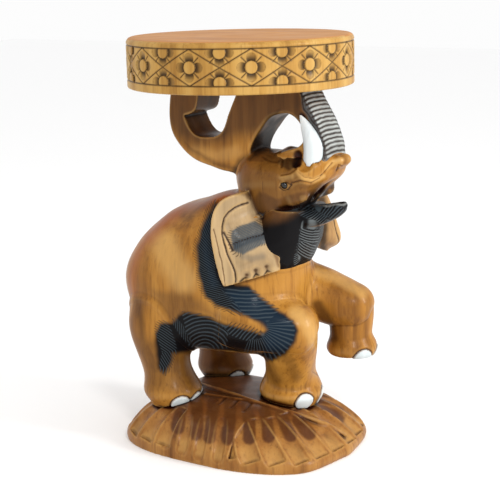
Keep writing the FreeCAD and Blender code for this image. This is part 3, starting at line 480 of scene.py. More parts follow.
# paint: colour, shape or line, its points, the line's radius, softness, strength
# cuts: line, radius and depth in millimetres
pieceLooks = {
    "head": {
        "slot": "varnished_wood",
        "paint": [
            ("brown", "shape", [(236, 180), (240, 160), (256, 146), (284, 150), (304, 140), (304, 160),
             (296, 172), (306, 184), (322, 182), (330, 190), (310, 204), (292, 214), (262, 232),
             (246, 205)], 0, 6, 0.68),
            ("brown", "shape", [(243, 162), (256, 146), (272, 147), (284, 152), (290, 149), (304, 140),
             (305, 158), (299, 167), (288, 172), (281, 167), (268, 162), (254, 163)], 0, 5, 0.9),
            ("black", "shape", [(281, 167), (284, 158), (291, 149), (304, 141), (304, 156), (298, 166),
             (289, 171)], 0, 4, 0.55),
            ("black", "line", [(270, 150), (283, 153), (280, 162)], 1.5, 4, 0.5),
            # painted shade under the trunk's arch
            ("black", "shape", [(250, 160), (262, 138), (268, 128), (276, 134), (273, 146),
             (262, 153)], 0, 6, 0.75),
            ("brown", "shape", [(248, 196), (262, 204), (284, 206), (306, 196), (318, 186), (326, 192),
             (312, 206), (292, 217), (262, 240)], 0, 8, 0.9),
            ("black", "shape", [(256, 214), (272, 215), (296, 209), (308, 202), (316, 196), (324, 188),
             (330, 194), (312, 212), (290, 228), (262, 244)], 0, 8, 1.0),
            ("brown", "shape", [(258, 188), (276, 196), (300, 190), (318, 186), (322, 192), (300, 208),
             (262, 216), (246, 206)], 0, 10, 0.95),
            ("dark", "line", [(262, 160), (261, 168), (261.8, 176), (262.6, 186),
             (262.2, 196)], 0.3, 0.5, 0.45),
            ("pale", "line", [(281, 178), (291, 177), (297, 173), (303, 178), (314, 181),
             (323, 176)], 2.4, 3, 0.9),
            ("pale", "line", [(327, 168), (334, 162), (341, 160)], 2.5, 2.5, 0.8),
            # painted highlight along the skull's top
            ("pale", "line", [(246, 186), (260, 184), (272, 185)], 3, 5, 0.5),
            *(("dark", "line", lid, 0.5, 0.7, 0.9) for lid in eyeLids),
            ("red", "line", [(243, 172), (250, 160), (262, 155)], 5, 8, 0.4),
        ],
        "carve": [("along", [(266, 207), (279, 211), (291, 213), (301, 206)], 9, 9, 2.5, 0.3, 0.0, 0.35)],
        "cuts": [
            ([(263, 157), (270, 161), (277, 161.5), (283, 158), (287, 152)], 1.6, 0.9),
            ([(281.5, 167), (283, 160), (287, 154), (293, 148), (303, 142)], 1.4, 1.3),
            ([(281, 175), (290, 173.5), (296, 169)], 1.0, 1.2),
            ([(291, 183), (300, 180.5), (311, 183), (319, 179), (332, 163)], 0.9, 1.3),
            ([(298, 172), (304, 177), (314, 179), (322, 175)], 0.7, 1.0),
            ([(336.5, 171), (338.5, 165), (342, 166)], 0.7, 1.2),
            *((lid, 0.6, 1.0) for lid in eyeLids),
        ],
    },
    "lower_jaw": {
        "slot": "black_stained_wood",
        "paint": [
            ("brown", "shape", [(236, 170), (312, 170), (312, 226), (236, 240)], 0, 6, 1.0),
            ("black", "shape", [(240, 228), (266, 222), (284, 219), (298, 210), (306, 196), (320, 200),
             (356, 190), (356, 218), (335, 236), (335, 262), (300, 285), (250, 290)], 0, 16, 1.0),
            ("silver", "line", [(324, 206), (335, 205), (346, 203.5)], 0.9, 1.4, 0.35),
        ],
        "carve": [
            ("along", [(311, 229), (310.5, 243), (306, 258)], 11, 12, 2.6, 0.08, 0.022, 0.4),
            ("along", [(300, 208), (312, 216), (326, 222)], 5, 8, 2.6, 0.5, 0.0, 0.3),
            ("along", [(322, 208), (331, 214), (336, 219)], 7, 12, 2.8, 0.0, 0.0, 0.3),
        ],
        "carveShine": 0.28,
        "cuts": [([(304, 208), (322, 211), (341, 210)], 0.7, 1.0)],
    },
    "ear_right": {
        "slot": "ear_wood",
        "paint": [
            ("tan", "shape", [(200, 180), (290, 180), (295, 300), (200, 300)], 0, 3, 0.95),
            ("pale", "line", [(214.5, 232), (216, 248), (219, 266), (222, 287)], 1.2, 1.5, 0.9),
            ("brown", "line", [(234, 192), (246, 193), (252, 200), (262, 215), (268, 230), (272, 245),
             (280, 266)], 2.5, 4, 0.75),
            ("grey", "shape", [(231, 237), (232, 231), (242, 225), (249, 223), (256, 221), (263, 226),
             (268, 236), (265, 243), (257, 248), (249, 252), (244, 255), (234, 251)], 0, 3.0, 0.95),
            ("blue", "line", [(235, 246), (246, 241), (256, 238), (265, 235)], 3.5, 4, 0.6),
            ("grey", "line", [(243, 256), (252, 259), (262, 256)], 3, 5, 0.4),
            ("dark", "line", earRim[:-1] + [(235.6, 288)], 0.55, 0.7, 1.0),
            ("dark", "line", earRoot, 0.8, 0.9, 1.0),
            ("brown", "line", earBack, 0.4, 0.7, 0.9),
            ("dark", "line", earFold, 0.6, 0.8, 1.0),
            ("dark", "shape", [(240, 281), (244, 278), (249, 279), (250, 284), (243, 288),
             (239, 287)], 0, 2.2, 1.0),
            ("dark", "shape", [(253, 277), (257, 273), (260, 276), (260, 282), (254, 285),
             (252, 282)], 0, 2.2, 1.0),
            ("dark", "shape", [(264, 274), (268, 270), (272, 273), (272, 279), (265, 281),
             (262, 278)], 0, 2.2, 0.95),
            ("brown", "line", [(262, 222), (270, 240), (276, 258)], 2, 7, 0.35),
            ("brown", "shape", [(240, 262), (252, 256), (268, 252), (276, 266), (262, 274),
             (244, 276)], 0, 9, 0.22),
        ],
        "carve": [("along", [(232, 247), *earFold[1:-1], (267, 232)], 12, 15, 2.9, 0.85, 0.0, 0.9)],
        "carveFold": True,
        "cuts": [
            (earRim, 1.1, 2.4),
            (earRoot, 1.4, 2.2),
            (earBack, 0.6, 0.8),
            (earFold, 0.8, 1.3),
            ([(243, 290), (245, 283), (247, 276)], 3.6, 4.6),       # scallops of the lower edge
            ([(256, 288), (257, 280), (256, 271)], 3.2, 4.6),
            ([(268, 284), (269, 276), (267, 267)], 3.2, 4.2),
            ([(236, 216), (250, 212), (258, 218)], 6, 1.4),
            ([(230, 225), (236, 262)], 5, 1.2),
            ([(238, 268), (250, 262)], 4, 0.8),
        ],
    },
    "ear_left": {
        "slot": "ear_wood",
        "paint": [
            ("tan", "shape", [(300, 180), (352, 180), (352, 275), (300, 275)], 0, 3, 0.45),
            ("pale", "line", [(334, 196), (339, 222), (341, 240)], 2, 3, 0.6),
            ("black", "line", [(322, 200), (324, 225), (322, 255)], 4, 6, 0.8),
            ("dark", "line", farEarRim, 0.45, 0.7, 0.9),
        ],
        "cuts": [(farEarRim, 0.9, 1.6)],
    },
    "trunk": {
        "slot": "varnished_wood",
        "paint": [
            ("brown", "shape", [(160, 86), (305, 86), (312, 118), (296, 150), (266, 152), (262, 134),
             (240, 136), (222, 142), (196, 146), (176, 138), (160, 120)], 0, 22, 0.85),
            ("brown", "line", [(172, 110), (176, 130), (190, 148), (214, 163), (240, 170)], 2, 6, 0.6),
            # painted shade inside the trunk's arch
            ("black", "shape", [(226, 180), (240, 160), (258, 148), (264, 134), (268, 118), (278, 112),
             (276, 134), (272, 150), (262, 160), (246, 170)], 0, 8, 0.85),
            ("grey", "shape", [(300, 86), (327, 86), (335, 103), (342, 118), (348, 135), (348, 157),
             (340, 160), (322, 162), (318, 150), (314, 135), (309, 122), (303, 110)], 0, 2.5, 1.0),
            ("blue", "line", [(308, 100), (314, 117), (319, 133), (322, 150)], 2.5, 4, 0.35),
            ("dark", "line", [(302, 94), (304, 110), (311, 120), (319, 129), (323.5, 142),
             (325, 160)], 0.5, 0.8, 1.0),
            ("dark", "line", [(322, 94), (336, 112), (343, 134), (344.5, 150),
             (343.5, 163)], 0.5, 0.8, 0.9),
            ("pale", "line", [(196, 150), (214, 156), (236, 152)], 6, 10, 0.5),
        ],
        "cuts": [([(303, 108), (311, 120), (319, 129), (323.5, 142), (325, 160)], 0.8, 0.9)],
    },
    "torso": {"slot": "varnished_wood", "paint": bodyPaint, "carve": bodyCarve},
    "foreleg_right": {
        "slot": "varnished_wood",
        "paint": bodyPaint + [
            ("pale", "line", [(296, 312), (308, 324), (314, 340)], 7, 10, 0.9),
            ("brown", "line", [(280, 352), (290, 362), (296, 376)], 5, 9, 0.5),
        ],
        "carve": bodyCarve,
        "cuts": [([(313, 372), (322, 377)], 1.2, 0.9)],
        "foot": ((60, 18, 66), (-32, 26, 84)),
    },
    "foreleg_left": {
        "slot": "varnished_wood",
        "paint": [
            ("brown", "line", [(303, 266), (300, 282), (296, 304), (300, 320)], 6, 10, 0.85),
            ("dark", "line", [(303, 266), (300, 282), (294, 302)], 1.2, 2.5, 0.9),
            ("brown", "line", [(318, 305), (328, 322), (332, 338)], 5, 7, 0.8),
            # painted highlight along the raised leg's top
            ("pale", "line", [(318, 272), (342, 281), (362, 293)], 5, 8, 0.7),
        ],
        "foot": ((126, 70, 122), (-32, 28, 84)),
    },
    "hindleg_right": {
        "slot": "varnished_wood",
        "paint": bodyPaint + [
            ("brown", "shape", [(140, 340), (220, 340), (220, 392), (150, 392)], 0, 16, 0.5),
            ("brown", "shape", [(146, 350), (178, 344), (212, 352), (206, 372), (186, 378),
             (170, 376)], 0, 14, 0.6),
        ],
        "carve": bodyCarve,
        "foot": ((-85, -58, 60), (-37, 4, 40)),
    },
    "hindleg_left": {
        "slot": "varnished_wood",
        "paint": [
            ("red", "shape", [(190, 340), (260, 340), (260, 385), (190, 385)], 0, 4, 0.7),
            ("brown", "shape", [(190, 340), (260, 340), (260, 385), (190, 385)], 0, 4, 0.8),
        ],
        "foot": ((-85, 70, 60), (-30, 32, 90)),
    },
}
markNames = [
    "red", "pale", "tan", "brown", "grey", "silver", "blue", "black", "white", "dark",
    "phase", "stroke", "shine",
]


def facingView(points, normals):
    away = viewPlace - points
    away /= np.linalg.norm(away, axis=1)[:, None]
    return smooth((normals * away).sum(1), 0.02, 0.22)


def strokeField(field, spots, fold):
    # a phase that counts the strokes, and a mask of where they are
    kind = field[0]
    if kind == "along":
        line, left, right, spacing, slant, bend, deep = field[1:]
        distance, run, side = alongLine(spots, line)
        across = np.abs(side) if fold else side
        half = np.where(side > 0, left, right)
        return (run + slant * across + bend * side * side) / spacing, 1 - smooth(distance, half - 3, half + 3)
    away = spots - np.array(field[1])
    if kind == "rings":
        outline, spacing, squash = field[2:]
        rings = np.hypot(away[:, 0] * squash, away[:, 1]) / spacing
        return rings, 1 - smooth(insideShape(spots, outline), -2, 3)
    inner, outer, first, last, step = field[2:]
    reach = np.hypot(away[:, 0], away[:, 1])
    turn = np.degrees(np.arctan2(away[:, 1], away[:, 0]))
    mask = smooth(reach, inner - 2, inner + 2) * (1 - smooth(reach, outer - 5, outer + 5))
    return turn / step, mask * smooth(turn, first - 4, first + 4) * (1 - smooth(turn, last - 4, last + 4))


shineFrom = 0.35                              # strokes deeper than this catch the light


def markedSide(points, normals, look, marks, depth, noise):
    # one side's marks, painted and carved, where the surface can be seen
    spots = toPhoto(points)
    seen = facingView(points, normals)
    wobbly = spots + noise
    zone = np.zeros(len(points))
    for name, kind, line, radius, soft, strength in look["paint"]:
        away = insideShape(wobbly, line) if kind == "shape" else alongLine(wobbly, line)[0] - radius
        amount = (1 - smooth(away, -soft / 2, soft / 2)) * strength
        raiseMark(marks, name, amount * seen)
        if name in ("black", "blue", "grey"):
            zone = np.maximum(zone, 1 - smooth(away, 0.5, 6.5))
    for field in look.get("carve", []):
        # the carver's hand wanders a little
        phase, mask = strokeField(field, spots + 0.25 * noise, look.get("carveFold"))
        phase = phase + 0.10 * noise[:, 0]
        mask = mask * seen * zone
        stronger = mask > marks["stroke"]
        marks["phase"] = np.where(stronger, phase, marks["phase"])
        raiseMark(marks, "stroke", mask)
        if "carveShine" in look:
            depth -= (0.5 + 0.5 * np.cos(2 * math.pi * phase)) ** 2 * mask * field[-1] * mm
            raiseMark(marks, "shine", mask * look["carveShine"] * (field[-1] > shineFrom))
    for line, radius, deep in look.get("cuts", []):
        distance = alongLine(spots, line)[0]
        depth -= np.exp(-(distance / radius) ** 2) * seen * deep * mm


# the trunk's front edge from the lip up to the seat, x and z in millimetres
trunkFront = [
    (140, 380), (143, 395.2), (144, 411.4), (139, 428.8), (132, 443.9), (123, 459), (113, 476.4), (108, 488),
]
# ribs: shares of that edge where they start and that they fill, how many, sag, half width in millimetres
trunkRibs = {"first": 0.24, "share": 0.74, "count": 15, "sag": 0.28, "half": 22, "edge": 24.5}


def markTrunk(points, normals, marks):
    # painted shade on the insides of the scroll, and pale ribs across the front
    distance, run = alongLine(points[:, [0, 2]] / mm, trunkFront)[:2]
    front = smooth(normals[:, 0], 0.25, 0.5) * (1 - smooth(distance, 4, 7))
    inner = smooth(1 - np.abs(normals[:, 1]), 0.35, 0.7) * (1 - front)
    raiseMark(marks, "brown", inner * 0.9)
    raiseMark(marks, "black", inner * 0.35 * smooth(points[:, 2], 0.385, 0.40))
    length = alongLine(np.array(trunkFront[-1:], float), trunkFront)[1][0]
    ribs = trunkRibs
    phase = (run / length - ribs["first"]) / ribs["share"] * ribs["count"]
    grey = front * smooth(phase, -1.2, -0.8)
    sagged = phase + ribs["sag"] * (points[:, 1] / (ribs["half"] * mm)) ** 2
    sagged = sagged + 0.10 * cloudNoise(points, 7 * mm, 8)
    rib = (0.5 - 0.5 * np.cos(2 * math.pi * sagged)) ** 1.5 * grey
    rib *= 1 - 0.45 * smooth(phase, 7, 15) + 0.2 * cloudNoise(points, 9 * mm, 9)
    wide = 1 - smooth(np.abs(points[:, 1]), ribs["half"] * mm, ribs["edge"] * mm)
    raiseMark(marks, "grey", grey)
    raiseMark(marks, "silver", rib * wide)
    raiseMark(marks, "dark", (1 - smooth(rib, 0.1, 0.35)) * grey * 0.9)


# toenails, in millimetres
nail = {"half": 14.5, "height": 13, "sink": 2, "rise": 1.3, "groove": 1.2, "ahead": (8, 14), "upTo": (24, 30)}


def markNails(points, foot, marks, depth):
    # white nails round the toes, at their turns in degrees, each with a groove round it
    toes, turns = foot
    for turn in turns:
        ahead = np.array([math.cos(math.radians(turn)), math.sin(math.radians(turn)), 0])
        beside = np.array([-ahead[1], ahead[0], 0])
        away = points - np.array(toes) * mm
        wide = (away @ beside) / (nail["half"] * mm)
        tall = (away[:, 2] + nail["sink"] * mm) / (nail["height"] * mm)
        ring = np.sqrt(wide ** 2 + tall ** 2)
        front = smooth(away @ ahead, nail["ahead"][0] * mm, nail["ahead"][1] * mm)
        front = front * smooth(-away[:, 2], -nail["upTo"][1] * mm, -nail["upTo"][0] * mm)
        white = (1 - smooth(ring, 0.84, 0.92)) * front
        edge = np.exp(-((ring - 0.98) / 0.07) ** 2) * front
        raiseMark(marks, "white", white)
        raiseMark(marks, "dark", edge)
        depth += (white * nail["rise"] - edge * nail["groove"]) * mm


# size and height of the hand-made unevenness, in millimetres
toolFacets = (13, 0.25)
softSwells = (34, 0.5)


def carvedPiece(name):
    look = pieceLooks[name]
    points, faces, shade = clayPiece(name)
    normals = normalsOf(points, faces)
    marks = {kind: np.zeros(len(points)) for kind in markNames}
    depth = np.zeros(len(points))
    noise = np.stack([cloudNoise(points, 9 * mm, 1), cloudNoise(points, 9 * mm, 2)], axis=1) * 0.9
    markedSide(points, normals, look, marks, depth, noise)
    if name in ("trunk", "head", "lower_jaw", "torso"):
        # pieces on the middle line are marked on their far side too
        markedSide(points * farSide, normals * farSide, look, marks, depth, noise)
    if name == "trunk":
        markTrunk(points, normals, marks)
    if "foot" in look:
        markNails(points, look["foot"], marks, depth)
    facets = cloudNoise(points * np.array([1, 1, 0.5]), toolFacets[0] * mm, 5) * toolFacets[1]
    facets = facets + cloudNoise(points, softSwells[0] * mm, 6) * softSwells[1]
    points = points + normals * (depth + facets * mm)[:, None]
    marks["hollow"] = creaseShadeAndWear(points, faces)
    marks["shade"] = shade
    thing = makeMesh(name + "_carved", points, faces)
    settle(thing, marks, name)
    print(thing.name, "faces", len(faces))
    return thing


def creaseShadeAndWear(points, faces, rounds=6):
    # creases, where shade is painted, are positive and worn ridges negative
    links = linkCount(points, faces)
    soft = points
    for turn in range(rounds):
        soft = neighbourMean(soft, faces, links)
    return np.clip(((soft - points) * normalsOf(points, faces)).sum(1) / (0.5 * cell), -1, 1)


woodLook = {
    "light": (0.47, 0.225, 0.040),
    "middle": (0.33, 0.140, 0.020),
    "deep": (0.12, 0.040, 0.006),
    "red": (0.30, 0.070, 0.006),
    "pale": (0.62, 0.37, 0.12),
    "tan": (0.45, 0.315, 0.165),
    "brown": (0.085, 0.034, 0.008),
    "grey": (0.085, 0.095, 0.100),
    "silver": (0.44, 0.46, 0.44),
    "blue": (0.006, 0.016, 0.030),
    "black": (0.0045, 0.0040, 0.0045),
    "sheen": (0.050, 0.068, 0.080),
    "white": (0.66, 0.72, 0.73),
    "dark": (0.020, 0.009, 0.004),
    "strokes": 0.75,          # how strongly the chisel strokes show
    "creaseShade": 0.9,             # how dark the painted shade in the creases is
    "roughness": 0.36,
    "coat": 0.06,
    "specular": 0.14,
}


class Finish:
    # makes and joins the nodes of one material
    def __init__(self, name):
        self.material = bpy.data.materials.new(name)
        self.material.use_nodes = True
        self.tree = self.material.node_tree
        self.shader = self.tree.nodes["Principled BSDF"]

    def node(self, kind, **settings):
        made = self.tree.nodes.new(kind)
        for key, value in settings.items():
            if key in made.inputs:
                made.inputs[key].default_value = value
            else:
                setattr(made, key, value)
        return made

    def fill(self, socket, value):
        # a socket takes another node's output, a colour or a number
        if hasattr(value, "is_output"):
            self.tree.links.new(value, socket)
        elif socket.type == "RGBA":
            socket.default_value = (*value, 1)
        else:
            socket.default_value = value

    def dress(self, values):
        for name, value in values.items():
            self.fill(self.shader.inputs[name], value)

    def mark(self, name):
        return self.node("ShaderNodeAttribute", attribute_name=name).outputs["Fac"]

    def mix(self, amount, under, over, blend="MIX"):
        made = self.node("ShaderNodeMix", data_type="RGBA", blend_type=blend)
        # of this node's sockets, 0 is the factor and 6 and 7 are the two colours
        for place, value in ((0, amount), (6, under), (7, over)):
            self.fill(made.inputs[place], value)
        return made.outputs[2]

    def maths(self, operation, *values, clamp=False):
        made = self.node("ShaderNodeMath", operation=operation, use_clamp=clamp)
        for socket, value in zip(made.inputs, values):
            self.fill(socket, value)
        return made.outputs[0]

    def scaled(self, amount, factor, shift=0.0):
        return self.maths("MULTIPLY_ADD", amount, factor, shift, clamp=True)

    def strokes(self):
        # chisel strokes: each has a sharp bottom and its own length
        phase = self.mark("phase")
        wave = self.maths("COSINE", self.maths("MULTIPLY", phase, 2 * math.pi))
        notch = self.maths("POWER", self.maths("MULTIPLY_ADD", wave, 0.5, 0.5), 3.2)
        own = self.maths("SINE", self.maths("MULTIPLY", self.maths("ROUND", phase), 12.9898))
        reach = self.maths("MULTIPLY_ADD", own, 0.22, -0.42)
        mask = self.maths("MULTIPLY", self.maths("ADD", self.mark("stroke"), reach), 5.0, clamp=True)
        return self.maths("MULTIPLY", notch, mask, clamp=True)

    def noise(self, stretch, scale, detail=4.0, rough=0.55, twist=0.0):
        place = self.node("ShaderNodeTexCoord").outputs["Object"]
        turned = self.node("ShaderNodeMapping", Scale=stretch)
        self.fill(turned.inputs["Vector"], place)
        made = self.node("ShaderNodeTexNoise", Scale=scale, Detail=detail, Roughness=rough, Distortion=twist)
        self.fill(made.inputs["Vector"], turned.outputs["Vector"])
        return made.outputs["Fac"]

    def ramp(self, source, stops):
        made = self.node("ShaderNodeValToRGB")
        self.fill(made.inputs["Fac"], source)
        elements = made.color_ramp.elements
        while len(elements) < len(stops):
            elements.new(0.5)
        for element, (place, colour) in zip(elements, stops):
            element.position = place
            element.color = (*colour, 1)
        return made.outputs["Color"]


def grainWood(finish, look, stretch):
    # long streaks along the log, with fine pores and soft clouds of stain
    streaks = finish.noise(stretch, 34, 5, 0.6, 0.4)
    wood = finish.ramp(streaks, [(0.30, look["deep"]), (0.46, look["middle"]), (0.66, look["light"])])
    clouds = finish.noise((1, 1, 0.7), 14, 3, 0.5)
    wood = finish.mix(finish.scaled(clouds, 1.1, -0.25), wood, look["middle"])
    pores = finish.noise(tuple(4.5 * s for s in stretch), 60, 2, 0.6)
    wood = finish.mix(finish.scaled(pores, -2.4, 1.15), wood, look["deep"])
    return wood, streaks, pores


# paint that shows the grain: places on the streaks, and how much of the colour shows there
streakyPaint = {
    "tan": ((0.34, 0.55), (0.62, 1.0)),
    "brown": ((0.34, 0.45), (0.66, 1.5)),
    "grey": ((0.30, 0.45), (0.62, 1.0)),
    "white": ((0.30, 0.75), (0.60, 1.0)),
}


def carvedFinish(name, look, stretch=(1.0, 1.0, 0.07), marks=True):
    finish = Finish(name)
    wood, streaks, pores = grainWood(finish, look, stretch)

    def paint(under, colour, strength=1.0):
        over = look[colour]
        if colour in streakyPaint:
            stops = [(at, tuple(tone * c for c in over)) for at, tone in streakyPaint[colour]]
            over = finish.ramp(streaks, stops)
        return finish.mix(finish.scaled(finish.mark(colour), strength), under, over)

    height = pores
    shine = look["specular"]
    if marks:
        for colour, strength in (("red", 0.8), ("pale", 0.6), ("tan", 1.0), ("brown", 1.0)):
            wood = paint(wood, colour, strength)
        # painted shade in the closed-in places and in the creases, worn wood on the ridges
        hollow = finish.mark("hollow")
        wood = finish.mix(finish.scaled(finish.mark("shade"), 1.0), wood, look["deep"], "MULTIPLY")
        wood = finish.mix(finish.scaled(hollow, look["creaseShade"], -0.05), wood, look["deep"], "MULTIPLY")
        wood = finish.mix(finish.scaled(hollow, -0.45, -0.08), wood, look["pale"])
        for colour, strength in (("grey", 0.95), ("black", 1.0), ("blue", 0.95), ("dark", 0.9)):
            wood = paint(wood, colour, strength)
        notch = finish.strokes()
        inked = finish.maths("ADD", finish.mark("black"), finish.mark("blue"), clamp=True)
        inked = finish.maths("ADD", inked, finish.mark("grey"), clamp=True)
        ink = finish.mix(inked, look["dark"], look["sheen"])
        ink = finish.mix(finish.mark("shine"), ink, look["silver"])
        wood = finish.mix(finish.scaled(notch, look["strokes"]), wood, ink)
        wood = paint(paint(wood, "silver", 0.9), "white")
        height = finish.maths("MULTIPLY_ADD", notch, -2.5, pores)
        shine = finish.maths("MULTIPLY_ADD", inked, -0.7 * shine, shine)   # ink is duller than varnish
    bump = finish.node("ShaderNodeBump", Strength=0.22, Distance=0.0006)
    finish.fill(bump.inputs["Height"], height)
    rough = finish.scaled(finish.noise((1, 1, 1), 22, 2), 0.22, look["roughness"] - 0.11)
    finish.dress({
        "Base Color": wood, "Normal": bump.outputs["Normal"], "Roughness": rough,
        "Specular IOR Level": shine, "Coat Weight": look["coat"], "Coat Roughness": 0.12,
    })
    return finish.material


bodyFinish = carvedFinish("varnished_body", woodLook)
for name in clayNodes:
    carvedPiece(name).data.materials.append(bodyFinish)
print("animal carved")


# seat: turned board, its rim carved as a frieze; millimetres and degrees
seatLook = {
    "radius": 150.0,
    "bottom": 488.0,
    "top": 553.0,
    "round": 7.0,
    "lines": (11.0, 56.5),     # the two incised lines over the underside
    "count": 12,
    "firstTurn": -51.0,
    "button": 7.6,
    "petal": 17.6,
    "overSunk": 4.5,           # how far inside the lines the half flowers stand
    "underSunk": 4.0,
    "lineWidth": 0.9,
    "lineDepth": 1.5,
    "netWidth": 0.85,          # the lozenges between the lines
    "netDepth": 1.3,
    "turns": 960,
}


def flowerCut(u, v):
    # relief and painted shade in the cuts of one flower round its middle, millimetres
    r = np.hypot(u, v)
    quarter = math.pi / 2
    turn = np.arctan2(v, u) / quarter
    button = seatLook["button"]
    petal = seatLook["petal"]
    ring = np.exp(-((r - button - 0.8) / 0.7) ** 2)
    four = np.abs((turn + 0.5) % 1 - 0.5) * quarter
    # four rounded petals, each scooped down towards the button
    half = (petal - button + 3.0) / 2
    oval = np.hypot((r * np.cos(four) - petal + half) / half, r * np.sin(four) / (0.36 * petal))
    hollow = smooth(1.06 - oval, 0.0, 0.22) * smooth(r, button, button + 1.2)
    shade = hollow * (0.30 + 0.70 * (1 - smooth(r, button + 1.5, petal - 1.0)))
    shade = np.maximum(shade, np.exp(-((oval - 1.0) / 0.07) ** 2) * (r > button + 1) * 0.5)
    # a stroke between each two petals
    slant = np.abs(turn % 1 - 0.5) * quarter
    reach = smooth(r, button + 0.5, button + 1.5) * (1 - smooth(r, petal - 0.5, petal + 1.5))
    stroke = np.exp(-((slant * r) / 0.8) ** 2) * reach
    deep = 1.0 * ring + 2.1 * hollow * (1 - 0.6 * smooth(r, button + 2, petal)) + 1.2 * stroke
    return deep, np.clip(0.9 * ring + 1.0 * shade + stroke, 0, 1)


def friezeCut(turn, level):
    # depth and painted shade in the cuts over the rim, from the turn in degrees and the height over the
    # underside
    pitch = 2 * math.pi * seatLook["radius"] / seatLook["count"]
    low, high = seatLook["lines"]
    middle = (low + high) / 2
    half = (high - low) / 2
    share = ((turn - seatLook["firstTurn"]) / 360 * seatLook["count"] + 0.5) % 1 - 0.5
    u = share * pitch
    v = level - middle
    inside = smooth(level, low - 0.4, low + 0.4) * (1 - smooth(level, high - 0.4, high + 0.4))
    wide = seatLook["lineWidth"]
    rim = np.exp(-((level - low) / wide) ** 2) + np.exp(-((level - high) / wide) ** 2)
    net = np.abs(np.abs(u) / (pitch / 2) + np.abs(v) / half - 1) / math.hypot(2 / pitch, 1 / half)
    net = np.exp(-(net / seatLook["netWidth"]) ** 2) * inside
    deep = seatLook["lineDepth"] * rim + seatLook["netDepth"] * net
    dark = np.clip(rim + net, 0, 1)
    # one flower in each lozenge, and half ones between them at both edges
    over, under = half - seatLook["overSunk"], seatLook["underSunk"] - half
    beside = [(side * pitch / 2, v0) for side in (1, -1) for v0 in (over, under)]
    for u0, v0 in [(0, 0)] + beside:
        cut, cutShade = flowerCut(u - u0, v - v0)
        deep = np.maximum(deep, cut * inside)
        dark = np.maximum(dark, cutShade * inside)
    return deep, dark


def seatProfile():
    radius, bottom, top, edge = (seatLook[key] for key in ("radius", "bottom", "top", "round"))
    rows = [(r, bottom) for r in (0.5, 30, 60, 90, 115, 135, radius - 5, radius - 2.2)]
    rows += [(radius - 0.8, bottom + 0.6), (radius, bottom + 2)]
    steps = 84
    start, end = bottom + 2.7, top - edge
    rows += [(radius, start + (end - start) * step / steps) for step in range(steps + 1)]
    for step in range(1, 7):
        turn = step / 6 * math.pi / 2
        rows.append((radius - edge + edge * math.cos(turn), end + edge * math.sin(turn)))
    rows += [(r, top) for r in (radius - 11, 128, 110, 90, 70, 50, 30, 12, 0.5)]
    return rows


def latheMesh(rows, turns):
    # radius, level and turn of every point of a turned shape, and its faces
    radius, level = (np.repeat(values, turns) for values in np.array(rows).T)
    turn = np.tile(np.linspace(0, 2 * math.pi, turns, endpoint=False), len(rows))
    index = np.arange(turns)
    after = (index + 1) % turns
    ring = np.stack([index, after, turns + after, turns + index], axis=1)
    return radius, level, turn, np.vstack([ring + row * turns for row in range(len(rows) - 1)])


def closeEnds(thing, turns):
    # one round face over each end ring
    edit = bmesh.new()
    edit.from_mesh(thing.data)
    verts = list(edit.verts)
    edit.faces.new(verts[turns - 1::-1])
    edit.faces.new(verts[-turns:])
    for face in edit.faces:
        face.smooth = True
    edit.to_mesh(thing.data)
    edit.free()


def makeSeat():
    turns = seatLook["turns"]
    radius, level, turn, faces = latheMesh(seatProfile(), turns)
    deep, dark = friezeCut(np.degrees(turn), level - seatLook["bottom"])
    onRim = smooth(radius, seatLook["radius"] - 0.6, seatLook["radius"] - 0.1)
    wave = 0.35 * np.sin(3 * turn + 1) + 0.25 * np.sin(7 * turn + 2)
    radius = radius - deep * onRim + wave * smooth(radius, 120, 150) - 0.3
    sway = 0.3 * np.sin(2 * turn + 0.5) * smooth(level, 545, 553) * smooth(radius, 60, 150)
    level = level + sway - 0.2 * (level > 540)
    points = np.stack([radius * np.cos(turn), radius * np.sin(turn), level], axis=1) * mm
    thing = makeMesh("seat_board", points, faces)
    marks = {name: np.zeros(len(points)) for name in markNames + ["hollow", "shade"]}
    # painted shade in the frieze's cuts
    marks["dark"] = dark * onRim
    closeEnds(thing, turns)
    settle(thing, marks, "seat_top")
    print("seat faces", len(faces))
    return thing


seatWood = dict(
    woodLook, roughness=0.45,
    light=(0.56, 0.355, 0.110), middle=(0.42, 0.225, 0.050), deep=(0.22, 0.095, 0.016))
topWood = dict(
    woodLook, roughness=0.5, coat=0.0,
    light=(0.56, 0.26, 0.065), middle=(0.47, 0.20, 0.045), deep=(0.27, 0.095, 0.018))
seat = makeSeat()
seat.data.materials.append(carvedFinish("rim_wood", seatWood))
seat.data.materials.append(carvedFinish("top_wood", topWood, (0.10, 1.0, 1.0), False))
centres = np.empty(len(seat.data.polygons) * 3, np.float32)
seat.data.polygons.foreach_get("center", centres)
x, y, z = centres.reshape(-1, 3).T
onTop = (z > 0.5515) | ((z < 0.4885) & (np.hypot(x, y) < 0.146))      # the board's two flat sides
seat.data.polygons.foreach_set("material_index", onTop.astype(np.int32))
print("seat done")


tuskLook = {
    "colour": (0.66, 0.71, 0.72),
    "streak": (0.44, 0.48, 0.50),
    "roughness": 0.45,
}
beadLook = {
    "colour": (0.006, 0.005, 0.005),
    "roughness": 0.06,
    "shank": 1.2 * mm,         # its radius
    "length": 7 * mm,
}


def makeTusk(side, finish):
    # the CAD tusk with a finer, evenly laid skin
    name = "tusk_" + side
    low, counts = blockRoom(name, 6)
    points, faces = biggestPart(*clayToMesh(gridBlock(clay[name], low, counts), low))
    thing = makeMesh(name + "_painted", points, faces)
    settle(thing, {}, name)
    thing.data.materials.append(finish.material)


